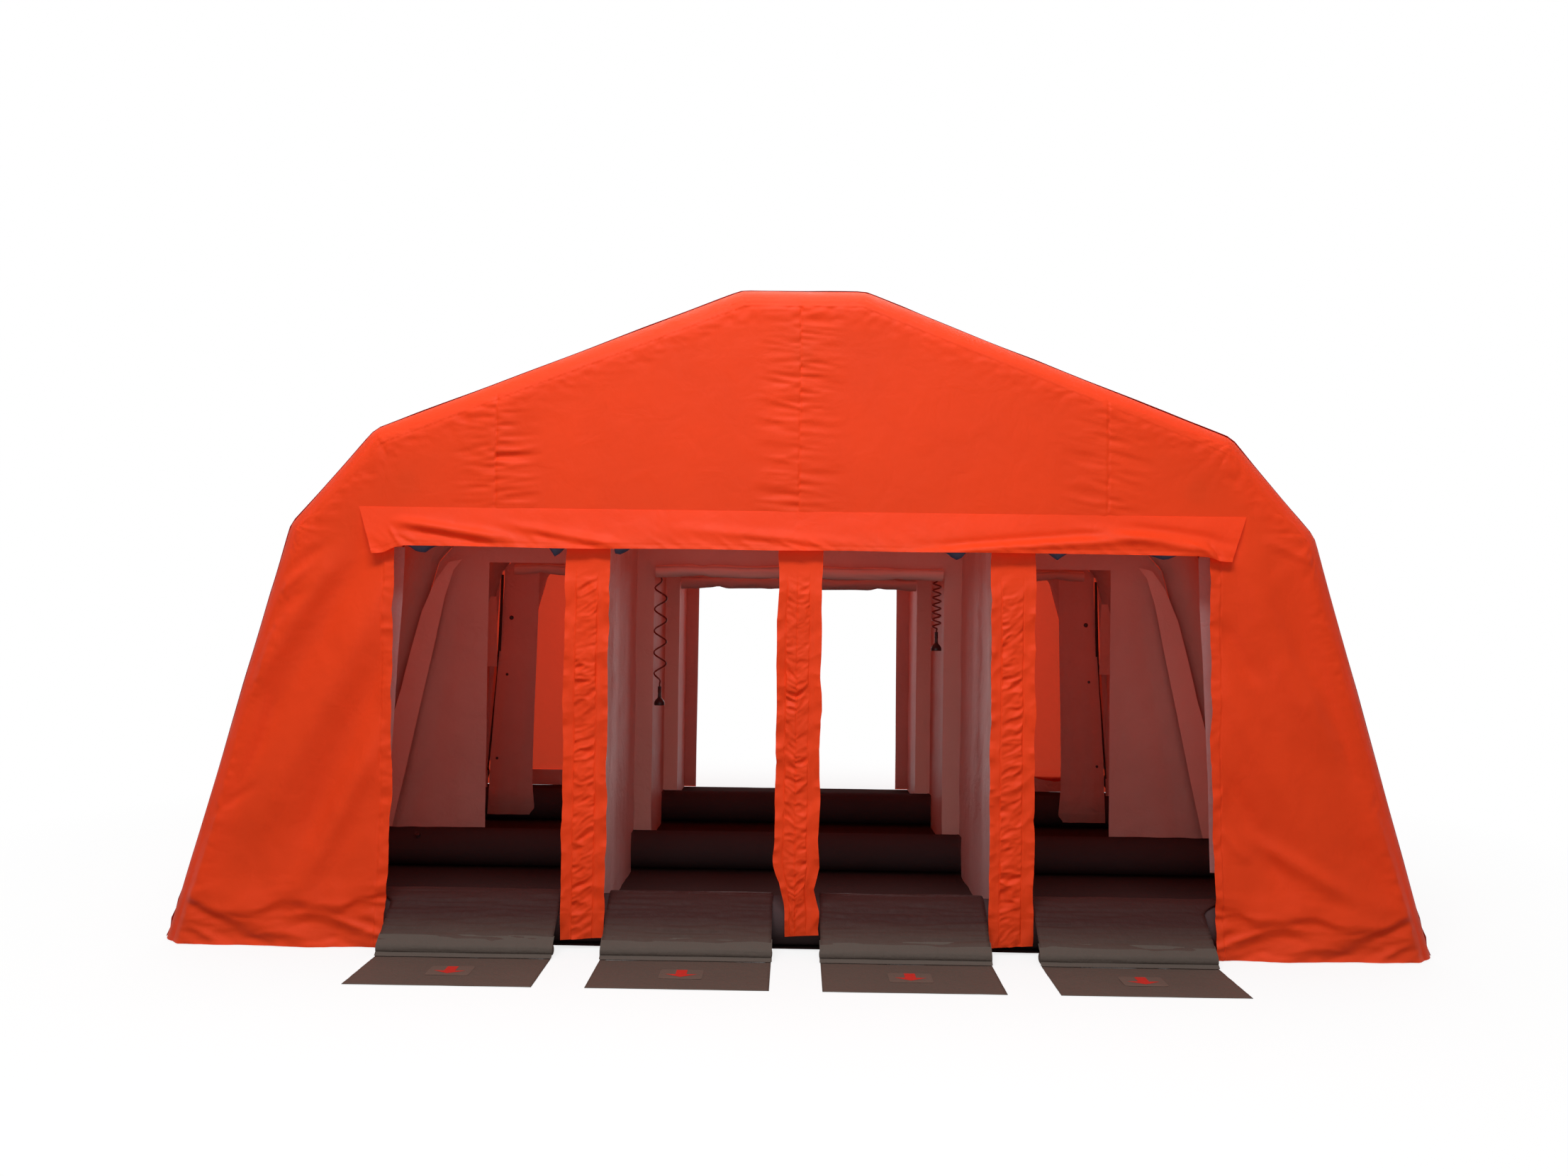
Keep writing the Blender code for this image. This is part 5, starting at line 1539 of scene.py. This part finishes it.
def hose_tube(side, line):
    """The hose's round wall along its middle line, kept from twisting."""
    last = len(line) - 1
    flank = (line[1] - line[0]).normalized().orthogonal()
    spots = []
    for index, point in enumerate(line):
        along = (line[min(index + 1, last)] - line[max(index - 1, 0)]).normalized()
        flank = (flank - along * flank.dot(along)).normalized()

        def spot(turn, point=point, first=flank, second=along.cross(flank)):
            return point + (first * math.cos(turn) + second * math.sin(turn)) * HOSE_RADIUS

        spots.append(spot)
    return tube_surface("coil_hose_%s_tube" % side, spots, 12, (2 * math.pi * HOSE_RADIUS, 0.01),
                        finish="hose", body=None, stands_for=("coil_hose_" + side,))


def turned_piece(name, profile, centre, steps, finish, axis=(0, 0, 1), **rest):
    """A turned form: profile holds (radius, height) from one pole to the other."""
    shape = bmesh.new()
    verts = [shape.verts.new((radius, 0, height)) for radius, height in profile]
    edges = [shape.edges.new(pair) for pair in pairwise(verts)]
    bmesh.ops.spin(shape, geom=verts + edges, cent=(0, 0, 0), axis=(0, 0, 1), angle=2 * math.pi, steps=steps,
                   use_merge=True)
    bmesh.ops.remove_doubles(shape, verts=shape.verts, dist=0.00001)
    bmesh.ops.recalc_face_normals(shape, faces=shape.faces)
    turn = Vector((0, 0, 1)).rotation_difference(Vector(axis)).to_matrix()
    bmesh.ops.rotate(shape, cent=(0, 0, 0), matrix=turn, verts=shape.verts)
    bmesh.ops.translate(shape, vec=centre, verts=shape.verts)
    return add_piece(name, shape, finish, sharp=40, **rest)


def make_water():
    """Water pipes, curly hoses, hand showers and their triggers."""
    for side in ("left", "right"):
        low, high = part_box("water_pipe_" + side)
        make_pipe(side, COILS[side][0], low.y, high.y)
        line = hose_line(side)
        hose = hose_tube(side, line)
        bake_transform(hose)
        shower = make_hand_shower(side)
        make_trigger(side)


def make_pipe(side, across, start, end):
    """A drawn pipe under the roof with clips and an outlet that the hose hangs from."""
    radius = PIPE_RADIUS
    length = end - start
    profile = [(0.0, 0.0), (radius - 0.001, 0.0), (radius, 0.001), (radius, length - 0.001),
               (radius - 0.001, length), (0.0, length)]
    turned_piece("water_pipe_%s_steel" % side, profile, (across, start, PIPE_HEIGHT), 28, "steel",
                 stands_for=("water_pipe_" + side,), axis=(0, 1, 0))
    ring = [(radius, 0.0), (radius + 0.0022, 0.0006), (radius + 0.0022, 0.0174), (radius, 0.018)]
    for index, share in enumerate(PIPE_CLIPS):
        clip = turned_piece("pipe_clip_%s_%d" % (side, index + 1), ring,
                            (across, start + share * length, PIPE_HEIGHT), 28, "plastic", axis=(0, 1, 0))
        thicken(clip, 0.0012)
    outlet = HOSE_TOP + GAP
    drop = PIPE_HEIGHT - radius + 0.004 - outlet
    profile = [(0.0, 0.0), (0.0088, 0.0), (0.0100, 0.0014), (0.0100, 0.012), (0.0078, 0.0135),
               (0.0078, 0.020), (0.0100, 0.0215), (0.0100, drop - 0.006), (0.0128, drop - 0.004),
               (0.0128, drop), (0.0, drop)]
    turned_piece("pipe_outlet_" + side, profile, (across, HOSE_STATION, outlet), 24, "steel")


def make_hand_shower(side):
    """A hand shower that hangs mouth down, with a ribbed grip and a recessed rose."""
    low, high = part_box("hand_shower_" + side)
    length = high.z - low.z
    neck, face = NECK_RADIUS, ROSE_RADIUS
    profile = [(0.0, 0.0), (neck * 0.8, 0.0), (neck, -0.004)]
    for height in [-0.008 - index * 0.0042 for index in range(7)]:
        profile += [(neck, height), (neck - 0.0012, height - 0.0012), (neck - 0.0012, height - 0.0024),
                    (neck, height - 0.0036)]
    profile += [(neck * 0.85, -length * 0.36), (neck * 0.88, -length * 0.45), (neck, -length * 0.6),
                (face * 0.60, -length * 0.68), (face * 0.84, -length * 0.76), (face * 0.97, -length * 0.84),
                (face, -length * 0.90), (face, -length * 0.985), (face - 0.0012, -length),
                (face * 0.82, -length), (face * 0.80, -length + 0.0015), (0.0, -length + 0.0015)]
    return turned_piece("hand_shower_%s_body" % side, profile, (COILS[side][0], HOSE_STATION, high.z), 40,
                        "plastic", body="shower_" + side, stands_for=("hand_shower_" + side,))


def make_trigger(side):
    """The sprung lever in front of the grip, cut round at its pivot and softened at its edges."""
    node = "shower_trigger_" + side
    angles = [math.pi * index / 12 for index in range(13)]
    outline = [(TRIGGER_RADIUS * math.cos(angle), TRIGGER_RADIUS * math.sin(angle)) for angle in angles]
    outline += [(-0.0030, -0.040), (-0.0026, -0.050), (-0.0010, -0.052), (0.0012, -0.051), (0.0026, -0.046)]
    pivot = (HOSE_STATION - NECK_RADIUS - GAP - TRIGGER_RADIUS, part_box("hand_shower_" + side)[1].z - 0.022)
    left = COILS[side][0] - TRIGGER_WIDTH / 2
    cosine, sine = math.cos(TRIGGER_SLANT), math.sin(TRIGGER_SLANT)
    points = [(left, pivot[0] + across * cosine + height * sine, pivot[1] + height * cosine - across * sine)
              for across, height in outline]
    shape = extruded(points, (TRIGGER_WIDTH, 0, 0))
    rims = [edge for edge in shape.edges if edge.calc_face_angle(0) > 1.2]
    bmesh.ops.bevel(shape, geom=rims, affect="EDGES", offset=0.0009, segments=3, profile=0.5, material=-1)
    add_piece(node + "_lever", shape, "plastic", body="trigger_" + side, stands_for=(node,), sharp=45)


def make_valve():
    """Inflation valve on the first threshold tube, with a cap."""
    facing = Vector((0.0, -math.cos(VALVE_TILT), math.sin(VALVE_TILT)))
    axis = Vector((middle("inflation_valve", 0), RINGS[1], TUBE_AXIS))
    base = axis + facing * (TUBE_RADIUS * math.cos(math.pi / 12) - 0.002)
    profile = [(0.0, 0.0), (0.025, 0.0), (0.025, 0.004), (0.0235, 0.0058), (0.0200, 0.0062), (0.0190, 0.0080),
               (0.0190, 0.0120), (0.0180, 0.0123), (0.0, 0.0123)]
    turned_piece("inflation_valve_body", profile, base, 40, "plastic", stands_for=("inflation_valve",),
                 axis=facing)
    cap = [(0.0, 0.0), (0.0178, 0.0), (0.0190, 0.0010), (0.0190, 0.0072), (0.0176, 0.0088), (0.0120, 0.0090),
           (0.0105, 0.0078), (0.0, 0.0076)]
    turned_piece("inflation_valve_cap_body", cap, base + facing * 0.0126, 36, "plastic", body="valve_cap",
                 stands_for=("inflation_valve_cap",), axis=facing)


CAMERA_PLACE = (-0.0245, -8.693, 1.7288)
CAMERA_PITCH = 0.0179
CAMERA_YAW = 0.0094
CAMERA_ROLL = 0.0131
CAMERA_LENS = 27.95
# Name, place, target and size of each lamp
LAMPS = (
    ("key", (-0.9, -7.6, 8.4), (0, -2.5, 2.4), (6.0, 1.5)),
    ("fill", (-0.6, -9.5, 1.6), (0, 0, 1.1), (3.0, 1.6)),
    ("top", (0.0, 0.8, 9.0), (0, 0.6, 2.0), (7.0, 6.0)),
    ("back", (0.0, 7.5, 4.0), (0, 3.0, 1.2), (6.0, 4.0)),
)


def make_camera():
    data = bpy.data.cameras.new("camera")
    data.lens = CAMERA_LENS
    data.sensor_width = 36.0
    data.clip_end = 200.0
    camera = link_object("camera", data)
    ahead = Matrix.Rotation(CAMERA_YAW, 3, "Z") @ Matrix.Rotation(CAMERA_PITCH, 3, "X")
    spin = Matrix.Rotation(math.pi / 2, 3, "X") @ Matrix.Rotation(CAMERA_ROLL, 3, "Z")
    camera.matrix_world = Matrix.Translation(CAMERA_PLACE) @ (ahead @ spin).to_4x4()
    bpy.context.scene.camera = camera


def add_lamp(name, place, target, size):
    data = bpy.data.lights.new(name, "AREA")
    data.shape = "RECTANGLE"
    data.size, data.size_y = size
    data.energy = getattr(bpy.context.scene.tent_light, name)
    aim = (Vector(target) - Vector(place)).to_track_quat("-Z", "Y").to_matrix().to_4x4()
    link_object(name, data).matrix_world = Matrix.Translation(place) @ aim


def seen_share(tree):
    """1 for what the camera, a mirror or clear glass sees directly."""
    path = add_node(tree, "LightPath")
    first = add_node(tree, "Math", {0: path["Is Camera Ray"], 1: path["Is Glossy Ray"]}, operation="MAXIMUM")
    return add_node(tree, "Math", {0: first["Value"], 1: path["Is Transmission Ray"]},
                    operation="MAXIMUM")["Value"]


def make_world():
    world = bpy.data.worlds.new("studio")
    world.use_nodes = True
    tree = world.node_tree
    tree.nodes.clear()
    strength = add_node(tree, "MapRange", {"Value": seen_share(tree), "To Max": 1.0,
                                           "To Min": bpy.context.scene.tent_light.sky})["Result"]
    shell = add_node(tree, "Background", {"Color": (1, 1, 1, 1), "Strength": strength})["Background"]
    add_node(tree, "OutputWorld", {"Surface": shell})
    bpy.context.scene.world = world


def studio_floor_finish():
    """Pale floor that keeps the shadow near the tent and turns to the white background further out."""
    material, tree = new_material("studio_floor")
    seen = seen_share(tree)
    plain = add_node(tree, "BsdfDiffuse", {"Color": (0.86, 0.86, 0.86, 1)})["BSDF"]
    dim = add_node(tree, "BsdfDiffuse", {"Color": (0.22, 0.21, 0.20, 1)})["BSDF"]
    white = add_node(tree, "Emission", {"Color": (1, 1, 1, 1), "Strength": 1.0})["Emission"]
    spot = add_node(tree, "TexCoord")["Object"]
    far = add_node(tree, "VectorMath", {0: spot}, operation="LENGTH")["Value"]
    clear = add_node(tree, "MapRange", {"Value": far, "From Min": 3.2, "From Max": 6.0, "To Min": 0.80,
                                        "To Max": 1.0})["Result"]
    share = add_node(tree, "Math", {0: seen, 1: clear}, operation="MULTIPLY")["Value"]
    base = add_node(tree, "MixShader", {"Fac": seen, 1: dim, 2: plain})["Shader"]
    mixed = add_node(tree, "MixShader", {"Fac": share, 1: base, 2: white})["Shader"]
    add_node(tree, "OutputMaterial", {"Surface": mixed})
    return material


def make_stage():
    """Camera, soft lamps and a plain pale floor that keeps the tent's shadow."""
    make_camera()
    make_world()
    for lamp in LAMPS:
        add_lamp(*lamp)
    shape = bmesh.new()
    bmesh.ops.create_grid(shape, x_segments=1, y_segments=1, size=40.0)
    bmesh.ops.translate(shape, vec=(0, 0, -0.0005), verts=shape.verts)
    mesh = bpy.data.meshes.new("studio_floor")
    shape.to_mesh(mesh)
    shape.free()
    mesh.materials.append(studio_floor_finish())
    link_object("studio_floor", mesh)
    bpy.context.scene.view_settings.view_transform = "Standard"


class TENT_OT_finishes(bpy.types.Operator):
    """Make every finish of the tent"""
    bl_idname = "tent.finishes"
    bl_label = "Finishes"
    bl_options = {"REGISTER", "UNDO"}

    def execute(self, context):
        make_finishes()
        return {"FINISHED"}


class TENT_OT_stage(bpy.types.Operator):
    """Make the camera, the lamps and the floor under the tent"""
    bl_idname = "tent.stage"
    bl_label = "Stage"
    bl_options = {"REGISTER", "UNDO"}

    def execute(self, context):
        make_stage()
        return {"FINISHED"}


class TENT_OT_water(bpy.types.Operator):
    """Make the water pipes, hoses and hand showers"""
    bl_idname = "tent.water"
    bl_label = "Water"
    bl_options = {"REGISTER", "UNDO"}

    def execute(self, context):
        make_water()
        return {"FINISHED"}


class TENT_OT_tubes(bpy.types.Operator):
    """Make the inflated arches and tubes"""
    bl_idname = "tent.tubes"
    bl_label = "Inflated Tubes"
    bl_options = {"REGISTER", "UNDO"}

    def execute(self, context):
        make_tubes()
        return {"FINISHED"}


class TENT_OT_cover(bpy.types.Operator):
    """Make the cover and its tapes"""
    bl_idname = "tent.cover"
    bl_label = "Cover"
    bl_options = {"REGISTER", "UNDO"}

    def execute(self, context):
        make_cover()
        make_cover_tapes()
        return {"FINISHED"}


class TENT_OT_front_gable(bpy.types.Operator):
    """Make the entrance gable"""
    bl_idname = "tent.front_gable"
    bl_label = "Front Gable"
    bl_options = {"REGISTER", "UNDO"}

    def execute(self, context):
        make_front_gable()
        return {"FINISHED"}


class TENT_OT_valance(bpy.types.Operator):
    """Make the valance over the entrance"""
    bl_idname = "tent.valance"
    bl_label = "Valance"
    bl_options = {"REGISTER", "UNDO"}

    def execute(self, context):
        make_valance()
        return {"FINISHED"}


class TENT_OT_door_posts(bpy.types.Operator):
    """Make the three hanging door posts"""
    bl_idname = "tent.door_posts"
    bl_label = "Door Posts"
    bl_options = {"REGISTER", "UNDO"}

    def execute(self, context):
        make_door_posts()
        return {"FINISHED"}


class TENT_OT_rear_wall(bpy.types.Operator):
    """Make the rear gable and its two closed flaps"""
    bl_idname = "tent.rear_wall"
    bl_label = "Rear Wall"
    bl_options = {"REGISTER", "UNDO"}

    def execute(self, context):
        make_rear_wall()
        return {"FINISHED"}


class TENT_OT_bulkheads(bpy.types.Operator):
    """Make the inner walls and their loose leaves"""
    bl_idname = "tent.bulkheads"
    bl_label = "Bulkheads"
    bl_options = {"REGISTER", "UNDO"}

    def execute(self, context):
        make_bulkheads()
        make_leaves()
        return {"FINISHED"}


class TENT_OT_partitions(bpy.types.Operator):
    """Make the film between the lanes"""
    bl_idname = "tent.partitions"
    bl_label = "Partitions"
    bl_options = {"REGISTER", "UNDO"}

    def execute(self, context):
        make_partitions()
        return {"FINISHED"}


class TENT_OT_rolls(bpy.types.Operator):
    """Make the rolled doors and curtains"""
    bl_idname = "tent.rolls"
    bl_label = "Rolled Cloth"
    bl_options = {"REGISTER", "UNDO"}

    def execute(self, context):
        make_rolls()
        return {"FINISHED"}


class TENT_OT_floor(bpy.types.Operator):
    """Make the groundsheet, the entry mats and the ramps"""
    bl_idname = "tent.floor"
    bl_label = "Floor"
    bl_options = {"REGISTER", "UNDO"}

    def execute(self, context):
        make_floor()
        make_mats()
        make_ramps()
        return {"FINISHED"}


class TENT_OT_valve(bpy.types.Operator):
    """Make the inflation valve and its cap"""
    bl_idname = "tent.valve"
    bl_label = "Valve"
    bl_options = {"REGISTER", "UNDO"}

    def execute(self, context):
        make_valve()
        return {"FINISHED"}


PIECES = (TENT_OT_finishes, TENT_OT_stage, TENT_OT_water, TENT_OT_tubes, TENT_OT_cover, TENT_OT_front_gable,
          TENT_OT_valance, TENT_OT_door_posts, TENT_OT_rear_wall, TENT_OT_bulkheads, TENT_OT_partitions,
          TENT_OT_rolls, TENT_OT_floor, TENT_OT_valve)


class TENT_PT_panel(bpy.types.Panel):
    """Settings and pieces of the tent"""
    bl_idname = "TENT_PT_panel"
    bl_label = "Decontamination Tent"
    bl_space_type = "VIEW_3D"
    bl_region_type = "UI"
    bl_category = "Tent"

    def draw(self, context):
        for group in (context.scene.tent_cloth, context.scene.tent_colours, context.scene.tent_light):
            for name in group.__annotations__:
                self.layout.prop(group, name)
        for piece in PIECES:
            self.layout.operator(piece.bl_idname)


CLASSES = (TentCloth, TentColours, TentLight, *PIECES, TENT_PT_panel)


def register():
    for each in CLASSES:
        bpy.utils.register_class(each)
    bpy.types.Scene.tent_cloth = PointerProperty(type=TentCloth)
    bpy.types.Scene.tent_colours = PointerProperty(type=TentColours)
    bpy.types.Scene.tent_light = PointerProperty(type=TentLight)


def unregister():
    del bpy.types.Scene.tent_light
    del bpy.types.Scene.tent_colours
    del bpy.types.Scene.tent_cloth
    for each in reversed(CLASSES):
        bpy.utils.unregister_class(each)


def main():
    register()
    for piece in PIECES:
        group, name = piece.bl_idname.split(".")
        getattr(getattr(bpy.ops, group), name)()


if __name__ == "__main__":
    main()
